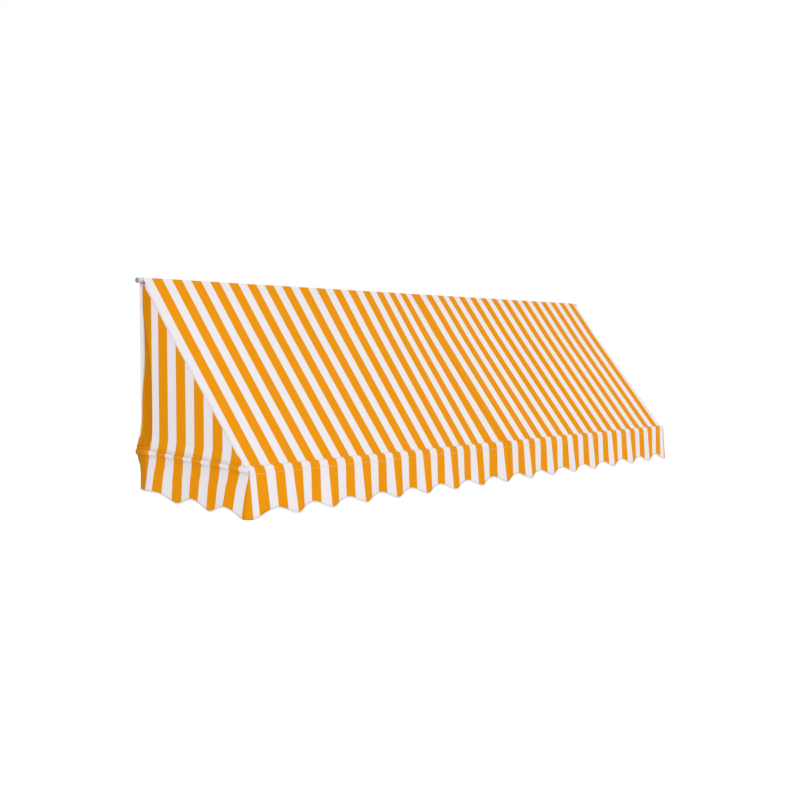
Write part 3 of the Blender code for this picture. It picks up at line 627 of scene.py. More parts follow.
VALANCE_FOLD = ((0.0065, 0.0012), (0.0030, 0.0013), (-0.0008, 0.0010), (-0.0013, 0.0), (-0.0008, -0.0010),
                (0.0030, -0.0013), (0.0065, -0.0012))


def make_tape(name: str, places: list[float], fold: tuple[tuple[float, float], ...],
              spot: Callable[[float, float, float], Vector], material: bpy.types.Material) -> bpy.types.Object:
    """A narrow tape folded round a cloth's edge.

    Args:
        name: the tape's name.
        places: where along the edge its points lie.
        fold: its section, as (distance in from the edge, distance off the cloth).
        spot: gives the point for a place and the two distances.
        material: the tape's cloth.

    Returns:
        The tape's object.
    """
    made = Cloth(name, len(places) - 1, len(fold) - 1, lambda column, row: spot(places[column], *fold[row]),
                 lambda column, row: (fold[row][0] / SIZES.stripe_pitch, places[column]), material,
                 thickness=0.0005).build()
    return made


@dataclass(frozen=True)
class StripePrint:
    """Where the cloth's stripes lie, in stripe pitches from the left edge."""

    first: float = 0.2083
    least: float = -0.42
    wide_start: float = 16.2083
    wide_extra: float = 0.2335
    top_shift: float = 0.5406
    top_shrink: float = 0.0033
    top_drift: tuple[tuple[float, float], ...] = (
        (0, -0.20), (4, -0.12), (6, -0.01), (8, 0.11), (10, 0.37), (12, 0.49), (13, 0.50), (14, 0.45), (15, 0.33),
        (16, 0.20), (17, 0.11), (18.5, 0.12), (20, -0.04), (23, -0.085), (31, -0.10))
    fold_drift: tuple[tuple[float, float], ...] = (
        (0, 0.06), (1, 0.06), (3, 0.0), (11, -0.04), (13, -0.08), (14, -0.12), (15, -0.16), (16, 0.05), (18, 0.0),
        (32, 0.06))

    def at(self, x: float, rise: float) -> float:
        """The print's coordinate, whole numbers where an orange stripe starts.

        Args:
            x: place along the wall.
            rise: share of the slope's height, 0 at the rail and 1 at the head tube.

        Returns:
            Pitches along the print.
        """
        place = (x + SIZES.half_width) / SIZES.stripe_pitch
        print_place = place - self.top_shift * rise
        for _ in range(3):
            drift = table_value(self.top_drift, print_place) * rise
            drift += table_value(self.fold_drift, print_place) * (1 - rise)
            print_place = (place - self.top_shift * rise - drift) / (1 - self.top_shrink * rise)
        if print_place <= self.wide_start:
            return max(print_place - self.first, self.least)
        orange = SIZES.orange_share
        if print_place >= self.wide_start + orange + self.wide_extra:
            return print_place - self.first - self.wide_extra
        share = (print_place - self.wide_start) / (orange + self.wide_extra)
        return self.wide_start - self.first + orange * share


@dataclass
class Canopy:
    """The two sewn widths of the canopy, each with head sleeve, slope, rail sleeve and front valance."""

    finish: bpy.types.Material
    plain: bpy.types.Material
    thread: bpy.types.Material
    slope_rows: int = 36
    valance_rows: int = 14
    steps_per_scallop: int = 18
    lip_columns: int = 4
    edge_prints: tuple[float, float] = (-0.30, 31.85)
    sag: float = 0.0025
    pattern: StripePrint = field(default_factory=StripePrint)

    def __post_init__(self) -> None:
        """Works out the section once."""
        self.section, self.first_slope = self.make_section()

    def make_section(self) -> tuple[list[tuple[float, float, float]], int]:
        """The section from the head sleeve's hem down to the rail's front.

        Returns:
            Marks as (y, z, slope share) and the first row on the slope.
        """
        s = SIZES
        leaves = tangent_angle(Vector((s.head_stitch, self.lift_at(s.head_stitch) - s.layer)), s.wrap, -1)
        returns = tangent_angle(Vector((s.head_run, s.layer / 2)), s.wrap, 1) - math.tau
        marks = [(*s.on_slope(s.head_stitch + t, self.lift_at(s.head_stitch + t) - s.layer), 1.0)
                 for t in (s.hem, s.hem / 2, 0.0)]
        marks += [(*p, 1.0) for p in arc_points(s.head_axis, s.down, s.out, s.wrap, leaves, returns, 22)]
        first_slope = len(marks)
        stops = [s.head_sleeve, s.lip_start]
        stops += between(s.lip_start, s.slope_length - s.lip_stop, self.slope_rows)[1:]
        stops += between(s.slope_length - s.lip_stop, s.slope_length - s.rail_sleeve, 3)[1:]
        for along in stops:
            marks.append((*s.on_slope(along, self.lift_at(along)), 1 - along / s.slope_length))
        meets = tangent_angle(Vector((-s.rail_sleeve, s.layer / 2)), s.wrap, -1) % math.tau
        marks += [(*p, 0.0) for p in arc_points(s.rail_axis, s.down, s.out, s.wrap, meets, s.slope_angle, 10)]
        return marks, first_slope

    def outward_normals(self) -> list[Vector]:
        """The section's outward directions, one for each mark."""
        spots = [Vector(mark[:2]) for mark in self.section]
        runs = [spots[min(i + 1, len(spots) - 1)] - spots[max(i - 1, 0)] for i in range(len(spots))]
        return [Vector((run.y, -run.x)).normalized() for run in runs]

    def lift_at(self, along: float) -> float:
        """How far the slope's cloth lies out of the line between the tube axes, down the slope."""
        s = SIZES
        start = s.wrap * s.wrap / s.head_run
        share = min(max((along - start) / (s.head_run - start), 0.0), 1.0)
        return s.wrap + (s.layer / 2 - s.wrap) * share

    def slack(self, x: float, rise: float) -> float:
        """How far the drawn cloth stands off its straight line, out of the slope."""
        inner = math.sin(math.pi * min(max(rise, 0.0), 1.0))
        edge = soft_step((SIZES.half_width - abs(x)) / 0.22)
        ripple = 0.0012 * wander(3.0, x * 1.1, rise * 1.6) + 0.0006 * wander(5.0, x * 4.0, rise * 1.2)
        return (ripple - self.sag * inner * 0.6) * inner * edge

    def on_slope(self, x: float, along: float, lift: float) -> Vector:
        """A point on the slope's cloth, lifted off its middle surface."""
        rise = 1 - along / SIZES.slope_length
        y, z = SIZES.on_slope(along, self.lift_at(along) + self.slack(x, rise) + lift)
        return Vector((x, y, z))

    def on_valance(self, x: float, drop: float, lift: float = 0.0) -> Vector:
        """A point on the front valance at a drop below the rail's axis, lifted off its middle surface."""
        s = SIZES
        full = s.scallop(s.front_phase(x))
        share = drop / full
        calm = soft_step((s.half_width - abs(x)) / 0.18)
        depth = s.fold_depth - s.fold_ease * soft_step((x - 0.4) / 1.0)
        wave = -depth * s.fold(s.front_phase(x)) * soft_step(share) * calm
        wave += 0.0030 * wander(9.0, x * 3.1, drop) * soft_step(share) * calm
        pinch = 0.0006 * math.exp(-((drop - s.rail_stitch) / 0.005) ** 2)
        pucker = 0.0010 * wander(2.0, x * 26.0) * math.exp(-((drop - s.rail_stitch) / 0.012) ** 2)
        reach = s.wrap + s.lean_at(x) * share - wave - pinch + (pucker + 0.0004) * calm + lift
        return Vector((x + s.flare_at(x, share), s.rail_y - reach, -s.rail_drop - drop))

    def columns_of(self, low: float, high: float) -> list[float]:
        """Places along X between low and high, fine enough for the scallops."""
        s = SIZES
        step = s.side_scallop / self.steps_per_scallop
        fixed = [low, high]
        for x in s.bracket_places:
            fixed += [place for place in (x - s.notch_half, x + s.notch_half) if low < place < high]
        marks = [low + step * i for i in range(1, int((high - low) / step))]
        free = [mark for mark in marks if all(abs(mark - place) > step / 3 for place in fixed)]
        return sorted(fixed + free)

    def make_width(self, side: Side) -> bpy.types.Object:
        """One cloth width, from its head sleeve to its scallops.

        Args:
            side: the end of the awning that this width reaches.

        Returns:
            The width's object.
        """
        s = SIZES
        low, high = (-s.half_width, s.seam_x + s.lap) if side is Side.LEFT else (s.seam_x, s.half_width)
        columns = self.columns_of(low, high)
        outer = side.value * s.half_width
        lips = self.lip_columns
        places = [None] * lips + columns if side is Side.LEFT else columns + [None] * lips
        section, first_slope = self.section, self.first_slope
        notch_rows = first_slope - 7
        edge_print = self.edge_prints[side is Side.RIGHT]
        normals = self.outward_normals()
        rail_row = first_slope + 5 + self.slope_rows

        def lip_share(column: int) -> float:
            """How far a column of the turned edge lies under the slope, as a share of its width."""
            step = lips - column if side is Side.LEFT else column - len(columns) + 1
            return step / lips

        def turned(rise: float) -> float:
            """The turned edge's width, which grows near the slope's lower end."""
            share = min(max((rise * s.slope_length - s.lip_stop) / s.lip_taper, 0.0), 1.0)
            return s.rail_cap + (s.lip - s.rail_cap) * share

        def lapped(x: float) -> float:
            """How far the near width's edge lies under the far width."""
            return 0.0012 * soft_step((x - s.seam_x + 0.006) / 0.006) if side is Side.LEFT else 0.0

        def place(column: int, row: int) -> Vector:
            """Where a grid point of the width lies."""
            x, depth = places[column], 0.0
            if x is None:
                x, depth = outer, lip_share(column)
            if row >= len(section):
                share = (row - len(section) + 1) / self.valance_rows
                return self.on_valance(x, s.scallop(s.front_phase(x)) * share, -lapped(x))
            y, z, rise = section[row]
            spot = Vector((y, z)) - normals[row] * lapped(x)
            if row < first_slope:
                inset = 0.004 if abs(x) == s.half_width else 0.0
                return Vector((x - math.copysign(inset, outer), *spot))
            if rise > 0:
                spot += s.out * (self.slack(x, rise) - depth * turned(rise))
            else:
                spot += (s.rail_axis - spot).normalized() * depth * s.rail_cap
            return Vector((x, *spot))

        def printed(column: int, row: int) -> tuple[float, float]:
            """The print at a grid point."""
            spare = places[column] is None
            x = outer if spare else places[column]
            if row >= len(section):
                share = (row - len(section) + 1) / self.valance_rows
                below = s.scallop(s.front_phase(x)) * share
                return self.pattern.at(x - 0.004 + 0.010 * soft_step((x - 1.80) / 0.15), 0.0), s.slope_length + below
            rise = section[row][2]
            raised = 0.9 * (self.lift_at((1 - rise) * s.slope_length) - s.layer / 2)
            if spare:
                return edge_print, s.slope_length * (1 - rise)
            return self.pattern.at(x + raised, rise), s.slope_length * (1 - rise)

        def tone(column: int, row: int) -> float:
            """Painted shade: slightly darker at the stitch lines and at the valance's top, just under the rail."""
            if row >= len(section):
                return 0.985 + 0.015 * min((row - len(section)) / 3, 1.0)
            near = min(abs(row - first_slope), abs(row - rail_row))
            return 1.0 - 0.03 * math.exp(-near)

        def skip(column: int, row: int) -> bool:
            """Notches over the brackets, and no turned edge on the head sleeve or the valance."""
            pair = places[column], places[column + 1]
            if None in pair:
                return not first_slope <= row < len(section) - 1
            middle = (pair[0] + pair[1]) / 2
            return row < notch_rows and any(abs(middle - x) < s.notch_half for x in s.bracket_places)

        name = "canopy_cloth_" + side.word
        made = Cloth(name, len(places) - 1, len(section) - 1 + self.valance_rows, place, printed, self.finish,
                     tone, skip).build()
        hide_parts("canopy_width_" + side.word)
        return made

    def make_binding(self, side: Side) -> bpy.types.Object:
        """The narrow white tape folded round the scalloped edge."""
        s = SIZES
        low, high = (-s.half_width + 0.001, s.seam_x) if side is Side.LEFT else (s.seam_x, s.half_width - 0.001)
        columns = self.columns_of(low, high)

        def spot(x: float, above: float, lift: float) -> Vector:
            """A point of the tape at a place along the front."""
            return self.on_valance(x, s.scallop(s.front_phase(x)), lift) + Vector((0, 0, above))

        return make_tape("valance_binding_" + side.word, columns, VALANCE_FOLD, spot, self.plain)

    def make_rail_pocket(self) -> bpy.types.Object:
        """The strip under the canopy that closes the sleeve round the front rail."""
        s = SIZES
        inner, out = s.wrap - s.layer, -s.layer / 2
        first = tangent_angle(Vector((-s.rail_sleeve, out)), s.wrap, 1)
        last = tangent_angle(Vector((inner, -s.rail_stitch)), s.wrap, -1)
        forward, upward = Vector((-1.0, 0.0)), Vector((0.0, 1.0))
        touch = s.down * math.cos(first) + s.out * math.sin(first)
        start = math.atan2(touch.y, -touch.x)
        points = [s.on_slope(s.slope_length - s.rail_sleeve - s.hem, out),
                  s.on_slope(s.slope_length - s.rail_sleeve, out)]
        points += arc_points(s.rail_axis, forward, upward, s.wrap, start % math.tau, last % math.tau, 14)
        points.append(s.rail_axis + forward * inner + upward * -s.rail_stitch)
        points.append(s.rail_axis + forward * (inner + 0.0002) + upward * -(s.rail_stitch + s.hem))
        columns = between(-(s.arm_x - 0.080), s.arm_x - 0.080, 180)

        def place(column: int, row: int) -> Vector:
            """Where a grid point of the strip lies."""
            point = points[row]
            slack = 0.0006 * wander(4.0, columns[column] * 22.0, row * 0.3) if 2 < row < 14 else 0.0
            return Vector((columns[column], point.x + slack, point.y - abs(slack)))

        made = Cloth("rail_sleeve_strip", len(columns) - 1, len(points) - 1, place,
                     lambda column, row: (columns[column] / s.stripe_pitch, row * 0.006), self.plain).build()
        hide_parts("rail_pocket")
        return made

    def make_seam_tape(self) -> bpy.types.Object:
        """The felled seam between the two widths, seen from under the slope."""
        s = SIZES
        alongs = between(s.lip_start, s.slope_length - s.lip_stop, 30)
        outs = between(-0.009, 0.009, 4)

        def place(column: int, row: int) -> Vector:
            """Where a grid point of the tape lies."""
            return self.on_slope(s.seam_x + outs[column], alongs[row], -0.0013)

        def printed(column: int, row: int) -> tuple[float, float]:
            """The print runs on from the canopy."""
            rise = 1 - alongs[row] / s.slope_length
            return self.pattern.at(s.seam_x + outs[column], rise), alongs[row]

        made = Cloth("canopy_seam_tape", 4, len(alongs) - 1, place, printed, self.finish, thickness=0.0008).build()
        return made

    def sew(self) -> list[bpy.types.Object]:
        """All the canopy's stitch lines."""
        s = SIZES
        wide = 2 * s.half_width - 0.03

        def level(along: float) -> Callable[[float], Vector]:
            """A line across the slope."""
            return lambda t: self.on_slope((t - 0.5) * wide, along, 0.0006)

        def down(x: float, lift: float) -> Callable[[float], Vector]:
            """A line down the slope."""
            first, last = s.lip_start, s.slope_length - s.lip_stop
            return lambda t: self.on_slope(x, first + (last - first) * t, lift)

        def turned_edge(side: Side) -> Callable[[float], Vector]:
            """A line along the turned edge of the slope."""
            first, last = s.lip_start + 0.004, s.slope_length - s.lip_stop - s.lip_taper
            return lambda t: self.on_slope(side.value * (s.half_width + 0.0006), first + (last - first) * t,
                                           0.004 - s.lip)

        def hem_line(t: float) -> Vector:
            """A line just above the scalloped binding's edge."""
            x = (t - 0.5) * wide
            return self.on_valance(x, s.scallop(s.front_phase(x)) - 0.0045, 0.0018)

        def rail_line(t: float) -> Vector:
            """The line under the rail, where the sleeve is closed."""
            return self.on_valance((t - 0.5) * wide, s.rail_stitch, 0.0008)

        run = s.slope_length - s.lip_start - s.lip_stop
        lines = [
            ThreadLine("thread_rail_sleeve", level(s.slope_length - s.rail_sleeve), wide, self.thread, radius=0.0004),
            ThreadLine("thread_rail_front", rail_line, wide, self.thread, radius=0.0007),
            ThreadLine("thread_valance_hem", hem_line, wide, self.thread),
            ThreadLine("thread_seam_near", down(s.seam_x - 0.006, -0.0020), run, self.thread),
            ThreadLine("thread_seam_far", down(s.seam_x + 0.006, -0.0020), run, self.thread),
        ]
        lines += [ThreadLine("thread_slope_edge_" + side.word, turned_edge(side), run, self.thread)
                  for side in Side]
        return [line.build() for line in lines]

    def build(self) -> None:
        threads = self.sew()
        tape = self.make_seam_tape()
        strip = self.make_rail_pocket()
        for side in Side:
            width = self.make_width(side)
            binding = self.make_binding(side)
            extra = [binding] + (threads + [tape] if side is Side.LEFT else [])
            log.info("built %s and %s", width.name, binding.name)


@dataclass
class SideWall:
    """One end of the awning: side panel, arm sleeve with its valance, inner strip, gusset and tapes."""

    side: Side
    finish: bpy.types.Material
    plain: bpy.types.Material
    orange: bpy.types.Material
    thread: bpy.types.Material
    pleat_depth: float = 0.012
    hem_width: float = 0.020
    hem_span: tuple[float, float] = (-0.775, -0.020)
    print_first: float = 1.075
    print_pitch: float = 0.995
    rear_stripe: tuple[float, float] = (0.06, 0.70)
    right_hang: float = 0.30
    sleeve_ease: float = 0.0095
    pleat_shade: float = 0.27
    rear_shade: float = 0.16
    crease_shade: float = 0.30

    def __post_init__(self) -> None:
        """Works out the canopy's underside, and how far this end's valance leans out."""
        self.hang = 1.0 if self.side is Side.LEFT else self.right_hang
        self.underside = self.make_underside()

    def make_underside(self) -> list[Vector]:
        """The canopy's underside as (y, z) points outwards from the wall."""
        s = SIZES
        clear, below = s.wrap + s.layer, -1.5 * s.layer
        by_wall = s.slope_angle - math.pi + math.acos((s.cloth_back - s.head_y) / clear)
        leaves = tangent_angle(Vector((s.head_sleeve, below)), clear, -1)
        points = arc_points(s.head_axis, s.down, s.out, clear, by_wall, leaves, 10)
        points.append(s.on_slope(s.head_sleeve, below))
        points.append(s.on_slope(s.slope_length - s.rail_sleeve, below))
        meets = tangent_angle(Vector((-s.rail_sleeve, below)), s.wrap - s.layer, -1) % math.tau
        return points + arc_points(s.rail_axis, s.down, s.out, s.wrap - s.layer, meets, s.slope_angle, 10)

    def under_at(self, y: float) -> float:
        """Height of the canopy's underside at y."""
        for near, far in zip(self.underside, self.underside[1:]):
            if far.x <= y <= near.x:
                return near.y + (far.y - near.y) * (y - near.x) / (far.x - near.x)
        return self.underside[-1].y

    def print_at(self, along: float) -> float:
        """The panel's print, whole numbers where an orange stripe starts, from the distance to the wall."""
        pitches = along / SIZES.stripe_pitch / self.print_pitch
        (rear_start, rear_end), share = self.rear_stripe, SIZES.orange_share
        if pitches < rear_end:
            return (pitches - rear_start) / (rear_end - rear_start) * share
        if pitches < self.print_first:
            return share + (pitches - rear_end) / (self.print_first - rear_end) * (1 - share)
        return pitches - self.print_first + 1

    def crease_at(self, z: float) -> float:
        """Distance from the wall of the pleat's folded edge at a height."""
        table = ((-0.80, 0.070), (-0.74, 0.079), (-0.466, 0.079), (-0.32, 0.058), (-0.165, 0.028), (-0.03, 0.018))
        return table_value(table, z)

    def flare_above(self, along: float, above: float) -> float:
        """How far the cloth near the arm sleeve is drawn out towards its round."""
        near = 1 - soft_step(above / 0.065)
        return self.sleeve_ease * near * soft_step((SIZES.side_reach - along) / 0.12)

    def panel_out(self, y: float, z: float, share: float) -> float:
        """How far the panel stands out of the arm's plane; inside the pleat it falls back."""
        along = -y
        fold = self.crease_at(z)
        full = self.pleat_depth * math.sin(math.pi * min(max(share, 0.0), 1.0)) ** 0.6
        reach_in = soft_step((along - 0.010) / 0.014) * (1 - soft_step((along - fold + 0.007) / 0.007))
        calm = math.sin(math.pi * share)
        flutter = 0.0012 * wander(7.0, along * 5.0, z * 3.0) * calm
        return -full * reach_in - abs(flutter) * soft_step(along / 0.1) + SIZES.root_bulge(along, z)

    def make_panel(self) -> bpy.types.Object:
        """The side panel from the slope down to the arm, with the pleat along the wall."""
        s = SIZES
        rise = math.tan(s.slope_angle) - s.arm_tan
        below = 1.5 * s.layer / math.cos(s.slope_angle)
        front = s.rail_y + (s.arm_seam(s.side_reach) + s.cloth + below) / rise
        near = between(s.cloth_back, -0.012, 2) + between(-0.012, -0.090, 26)[1:]
        ys = near + between(-0.090, front, 34)[1:]
        rows = 46

        def spot(column: int, row: int) -> tuple[float, float, float]:
            """The (y, z, height share) of a grid point."""
            y = ys[column]
            top, bottom = self.under_at(y), s.arm_height(y) + s.arm_seam(-y)
            share = row / rows
            return y, bottom + (top - bottom) * share, share

        def place(column: int, row: int) -> Vector:
            """Where a grid point of the panel lies."""
            y, z, share = spot(column, row)
            flare = self.flare_above(-y, z - s.arm_height(y) - s.arm_seam(-y))
            return Vector((self.side.value * (s.arm_x + self.panel_out(y, z, share) + flare), y, z))

        def printed(column: int, row: int) -> tuple[float, float]:
            """The print at a grid point."""
            y, z, _ = spot(column, row)
            return self.print_at(-y), -z

        def tone(column: int, row: int) -> float:
            """Painted shade: darker inside the pleat, most of all beside its folded edge, and along the wall."""
            y, z, share = spot(column, row)
            fold = self.crease_at(z)
            inside = soft_step((-y - 0.010) / 0.012) * (1 - soft_step((-y - fold) / 0.004))
            edge = math.exp(-((-y - fold + 0.004) / 0.005) ** 2)
            rear = 1 - soft_step((-y - 0.072) / 0.014)
            crease = self.crease_shade * edge * math.sin(math.pi * share) ** 0.5
            return 1 - max(self.pleat_shade * inside, self.rear_shade * rear) - crease

        name = "side_cloth_" + self.side.word
        made = Cloth(name, len(ys) - 1, rows, place, printed, self.finish, tone).build()
        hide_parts("side_panel_" + self.side.word)
        self.make_rear_hem()
        return made

    def make_rear_hem(self) -> bpy.types.Object:
        """The white tape folded round the panel's rear edge, against the wall."""
        s = SIZES
        heights = between(*self.hem_span, 40)
        half = self.hem_width * 0.5
        fold = ((self.hem_width, 0.0012), (half, 0.0014), (0.0014, 0.0014), (0.0004, 0.0), (0.0014, -0.0014),
                (half, -0.0014), (self.hem_width, -0.0012))

        def spot(z: float, back: float, lift: float) -> Vector:
            """A point of the tape at a height."""
            width = 0.42 + 0.58 * soft_step((z + 0.60) / 0.26)
            y = s.cloth_back + 0.0006 - back * width
            share = (z + 0.795) / 0.775
            out = self.panel_out(y, z, share) + lift
            return Vector((self.side.value * (s.arm_x + out), y, z))

        return make_tape("rear_hem_" + self.side.word, heights, fold, spot, self.plain)

    def sleeve(self, radius: float) -> list[Vector]:
        """Half of the arm sleeve's section as (out, up) points, from the upper stitch line to the lower."""
        s = SIZES
        upper = Vector((s.layer, radius + s.seam_margin))
        reach = tangent_angle(upper, radius, -1)
        turns = [Vector((radius * math.cos(a), radius * math.sin(a))) for a in between(reach, -reach, 12)]
        return [upper] + turns + [Vector((s.layer, -radius - s.seam_margin))]

    def alongs(self, stop: float) -> list[float]:
        """Distances from the wall for the cloth over the arm."""
        return between(-SIZES.cloth_back, stop, int(stop / 0.0115))

    def valance_point(self, along: float, row: float, lift: float = 0.0) -> Vector:
        """A point of the arm sleeve's outer half or of the side valance.

        Args:
            along: distance from the wall.
            row: rows 0 to 15 are hem and sleeve; past them, 0 to 1 down the valance.
            lift: how far off the cloth's middle surface.

        Returns:
            The point in the row frame.
        """
        s = SIZES
        y = -along
        axis_z, seam = s.arm_height(y), s.arm_seam(along)
        section = self.sleeve(s.sleeve_radius(along))
        last = len(section)
        if row < 1:
            out, up = s.layer + self.flare_above(along, s.hem * (1 - row)), seam + s.hem * (1 - row)
        elif row <= last:
            out, up = section[int(row) - 1]
            out += 0.0011 * wander(6.0, along * 30.0, row * 0.25) * (1 if 2 < row < last - 1 else 0)
            closing = min(max((along - s.side_reach + 0.018) / 0.018, 0.0), 1.0)
            if int(row) in (1, last):
                out += self.flare_above(along, 0.0) * (1.0 if row < 2 else 0.8)
            out = s.layer + (out - s.layer) * math.sqrt(1 - closing * closing)
        else:
            share = row - last
            full = s.side_drop(along)
            wave = 0.0050 * math.cos(math.tau * s.side_phase(along)) * soft_step(share)
            wave *= soft_step((s.side_reach - along) / 0.12) * soft_step(along / 0.05)
            ease = 0.8 * self.flare_above(along, share * 0.2)
            out = s.layer + s.side_lean_at(along) * self.hang * share - wave + ease
            up = -seam - (full - seam) * share
        room = max(self.under_at(y) - s.cloth - axis_z, 2 * s.cloth)
        if up > 0:
            up = min(up, room * (0.55 + 0.45 * up / (seam + s.hem)))
        out += s.root_bulge(along, axis_z + up) + lift
        return Vector((self.side.value * (s.arm_x + out), y, axis_z + up))

    def make_valance(self) -> bpy.types.Object:
        """The outer half of the arm sleeve and the scalloped valance that hangs from it."""
        s = SIZES
        alongs = self.alongs(s.side_reach)
        last = len(self.sleeve(s.wrap))
        depth_rows = 14

        def row_mark(row: int) -> float:
            """Grid row to sleeve row or share of the valance."""
            return float(row) if row <= last else last + (row - last) / depth_rows

        def place(column: int, row: int) -> Vector:
            """Where a grid point of the valance lies."""
            return self.valance_point(alongs[column], row_mark(row))

        def printed(column: int, row: int) -> tuple[float, float]:
            """The print at a grid point; it drifts to the rear down the sleeve and the valance."""
            point = place(column, row)
            share = min(max((row_mark(row) - last) / 0.4, 0.0), 1.0)
            shift = (0.07 if row > 1 else 0.0) + 0.11 * share
            return self.print_at(alongs[column] + shift * s.stripe_pitch), -point.z

        def tone(column: int, row: int) -> float:
            """Painted shade: darker along the sleeve's stitch lines and in the fold by the wall."""
            near = min(abs(row - 1), abs(row - last))
            rear = 1 - soft_step((alongs[column] - 0.03) / 0.05)
            return (1 - 0.12 * math.exp(-near * 0.9)) * (1 - 0.22 * rear)

        name = "side_valance_cloth_" + self.side.word
        made = Cloth(name, len(alongs) - 1, last + depth_rows, place, printed, self.finish, tone).build()
        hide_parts("side_valance_" + self.side.word)
        extras = [self.make_binding(alongs, last)] + self.sew(last)
        return made

    def make_binding(self, alongs: list[float], last: int) -> bpy.types.Object:
        """The narrow white tape folded round the side valance's scallops."""
        def spot(along: float, above: float, lift: float) -> Vector:
            """A point of the tape at a distance from the wall."""
            return self.valance_point(along, last + 1.0, lift) + Vector((0, 0, above))

        return make_tape("side_binding_" + self.side.word, alongs, VALANCE_FOLD, spot, self.plain)

    def sew(self, last: int) -> list[bpy.types.Object]:
        """The stitch lines of the sleeve and of the hem."""
        s = SIZES
        run = s.side_reach - 0.10

        def line(row: float, lift: float, above: float = 0.0) -> Callable[[float], Vector]:
            """A line along the side at one row of the cloth."""
            return lambda t: self.valance_point(0.02 + run * t, row, lift) + Vector((0, 0, above))

        marks = (("upper", 1.0, 0.0007, 0.0), ("lower", float(last), 0.0007, 0.0),
                 ("hem", last + 1.0, 0.0018, 0.0045))
        return [ThreadLine(f"thread_side_{word}_{self.side.word}", line(row, lift, above), run, self.thread,
                           radius=0.0003).build()
                for word, row, lift, above in marks]

    def make_inner_strip(self) -> bpy.types.Object:
        """The inner strip that closes the sleeve round the arm."""
        s = SIZES
        alongs = self.alongs(-s.rail_y - 0.085)
        rows = len(self.sleeve(s.wrap))

        def place(column: int, row: int) -> Vector:
            """Where a grid point of the strip lies."""
            along = alongs[column]
            section = self.sleeve(s.sleeve_radius(along))
            if row == 0:
                out, up = s.layer, s.arm_seam(along) + s.hem
            elif row <= rows:
                out, up = section[row - 1]
                out = 0.0 if row == rows else out
            else:
                out, up = 0.0, -s.arm_seam(along) - s.hem
            return Vector((self.side.value * (s.arm_x - out), -along, s.arm_height(-along) + up))

        made = Cloth("arm_sleeve_strip_" + self.side.word, len(alongs) - 1, rows + 1, place,
                     lambda column, row: (row * 0.05, alongs[column]), self.plain).build()
        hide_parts("arm_pocket_" + self.side.word)
        return made

    def make_gusset(self) -> bpy.types.Object:
        """The narrow orange wedge between the front and side valances."""
        s = SIZES
        lean = s.lean_at(self.side.value * s.half_width)
        end_drop = s.scallop(s.front_phase(self.side.value * s.half_width))
        side_full = s.side_drop(s.side_reach)
        seam, top, rows, columns = s.arm_seam(s.side_reach), 0.006, 18, 8
        edge_gap = 0.0006

        def place(column: int, row: int) -> Vector:
            """Where a grid point of the wedge lies: across it in a shallow ridge."""
            drop = top + (end_drop - top) * row / rows
            flare = s.side_lean_at(s.side_reach) * self.hang * max(drop - seam, 0.0) / (side_full - seam)
            first = Vector((s.half_width + flare, -s.side_reach - edge_gap, -s.rail_drop - drop))
            spread = abs(s.flare_at(self.side.value * s.half_width, drop / end_drop))
            second = Vector((s.half_width + edge_gap + spread, -s.corner_reach - lean * drop / end_drop, first.z))
            t = column / columns
            bow = Vector((1, -1, 0)) * (0.0012 + 0.004 * row / rows) * 4 * t * (1 - t)
            point = first.lerp(second, t) + bow
            return Vector((self.side.value * point.x, point.y, point.z))

        made = Cloth("corner_wedge_" + self.side.word, columns, rows, place,
                     lambda column, row: (0.1 + 0.02 * column, 0.2 * row / rows), self.orange).build()
        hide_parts("corner_gusset_" + self.side.word)
        return made

    def build(self) -> None:
        """Builds this end's cloth and reports it."""
        made = [self.make_panel(), self.make_valance(), self.make_inner_strip(), self.make_gusset()]
        log.info("built %s", ", ".join(piece.name for piece in made))


class FrameParts:
    """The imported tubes, brackets and fasteners, which keep their solids and get their finishes."""

    def finish_for(self, node: str) -> HardFinish:
        """The finish of a node, from its name."""
        if node.startswith(("head_tube_plug", "corner_elbow")):
            return GREY_PLASTIC
        if node.startswith(("head_tube", "front_rail", "side_arm")) and not node.endswith("joiner"):
            return POWDER_COAT
        return ZINC_PLATE

    def build(self) -> None:
        """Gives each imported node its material."""
        made = {finish: finish.build() for finish in (POWDER_COAT, ZINC_PLATE, GREY_PLASTIC)}
        for node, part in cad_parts.items():
            part.data.materials.clear()
            part.data.materials.append(made[self.finish_for(node)])
        log.info("finished %d packed nodes", len(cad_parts))


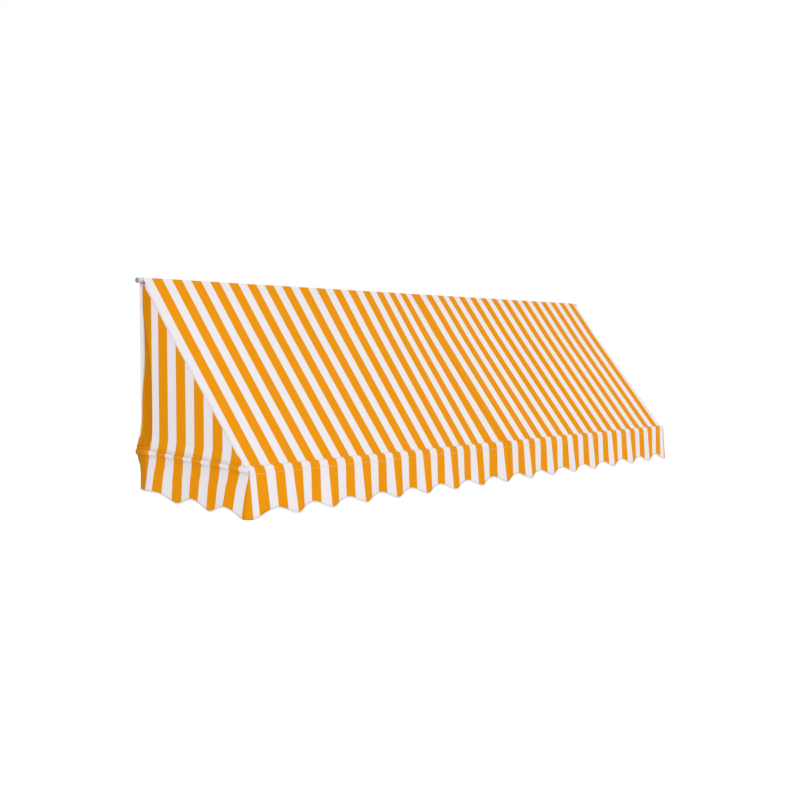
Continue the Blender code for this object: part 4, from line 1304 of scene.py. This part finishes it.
@dataclass
class Studio:
    """Plain pale floor, soft lamps, white background and the camera at the photograph's angle."""

    camera_place: tuple[float, float, float] = (-5.8432, -4.6573, -0.3723)
    yaw: float = math.radians(51.40)
    pitch: float = math.radians(1.97)
    roll: float = math.radians(-0.26)
    focal_pixels: float = 1236.2
    floor_level: float = -2.25
    ambient: float = 0.765
    sensor_width: float = 36.0
    picture_width: float = 800.0
    lamps: tuple[tuple[str, tuple[float, float, float], float, float], ...] = (
        ("key_lamp", (-6.0, -5.0, 2.5), 3.5, 125.0), ("fill_lamp", (4.5, -6.0, 2.5), 4.0, 92.0))

    def make_camera(self) -> None:
        """Adds the camera."""
        data = bpy.data.cameras.new("photo_camera")
        data.sensor_width = self.sensor_width
        data.lens = self.focal_pixels * self.sensor_width / self.picture_width
        data.clip_end = 100.0
        made = bpy.data.objects.new("photo_camera", data)
        bpy.context.scene.collection.objects.link(made)
        forward = Vector((math.sin(self.yaw) * math.cos(self.pitch), math.cos(self.yaw) * math.cos(self.pitch),
                          -math.sin(self.pitch)))
        level = Vector((math.cos(self.yaw), -math.sin(self.yaw), 0.0))
        upward = level.cross(forward)
        right = level * math.cos(self.roll) + upward * math.sin(self.roll)
        up = upward * math.cos(self.roll) - level * math.sin(self.roll)
        turn = Matrix((right, up, -forward)).transposed().to_4x4()
        made.matrix_world = Matrix.Translation(self.camera_place) @ turn
        bpy.context.scene.camera = made

    def make_world(self) -> None:
        """White where the camera, gloss or glass sees it, and an even light elsewhere."""
        world = bpy.data.worlds.new("studio_air")
        world.use_nodes = True
        bpy.context.scene.world = world
        graph = Graph(world.node_tree)
        graph.tree.nodes.clear()
        plain = graph.node("ShaderNodeBackground", None, {"Color": (1, 1, 1, 1), "Strength": self.ambient})
        white = graph.node("ShaderNodeBackground", None, {"Color": (1, 1, 1, 1), "Strength": 1.0})
        mixed = graph.node("ShaderNodeMixShader", None, {0: graph.seen(), 1: graph.take(plain),
                                                                2: graph.take(white)})
        graph.node("ShaderNodeOutputWorld", None, {0: graph.take(mixed)})

    def make_floor(self) -> None:
        """Adds the pale floor under the awning."""
        bm = bmesh.new()
        bmesh.ops.create_grid(bm, x_segments=8, y_segments=8, size=30.0)
        bmesh.ops.translate(bm, vec=(0, 0, self.floor_level), verts=bm.verts)
        material, graph, shader = new_surface("pale_floor")
        shader.inputs["Base Color"].default_value = (0.9, 0.9, 0.9, 1.0)
        shader.inputs["Roughness"].default_value = 0.9
        shader.inputs["Specular IOR Level"].default_value = 0.1
        glow = graph.mixed(graph.seen(), (0, 0, 0, 1), (0.36, 0.36, 0.36, 1))
        graph.feed(shader.inputs["Emission Color"], glow)
        shader.inputs["Emission Strength"].default_value = 1.0
        make_object(bm, "floor", material)

    def add_lamp(self, name: str, place: tuple[float, float, float], size: float, watts: float) -> None:
        """Adds a square soft lamp that faces the awning's middle."""
        data = bpy.data.lights.new(name, "AREA")
        data.shape = "SQUARE"
        data.size = size
        data.energy = watts
        lamp = bpy.data.objects.new(name, data)
        bpy.context.scene.collection.objects.link(lamp)
        aim = Vector((0.0, -0.35, -0.5)) - Vector(place)
        lamp.matrix_world = Matrix.Translation(place) @ aim.to_track_quat("-Z", "Y").to_matrix().to_4x4()

    def build(self) -> None:
        """Builds the whole studio."""
        self.make_camera()
        self.make_world()
        self.make_floor()
        for lamp in self.lamps:
            self.add_lamp(*lamp)
        bpy.context.scene.view_settings.view_transform = "Standard"
        log.info("built the studio")


def main() -> None:
    """Builds every piece in order."""
    logging.basicConfig(level=logging.INFO, format="%(message)s")
    striped = ClothFinish("striped_awning_cloth", Weave.STRIPED).build()
    white = ClothFinish("white_awning_cloth", Weave.WHITE).build()
    orange = ClothFinish("orange_awning_cloth", Weave.ORANGE).build()
    thread = SEWING_THREAD.build()
    FrameParts().build()
    Canopy(striped, white, thread).build()
    for side in Side:
        SideWall(side, striped, white, orange, thread).build()
    Studio().build()


if __name__ == "__main__":
    main()
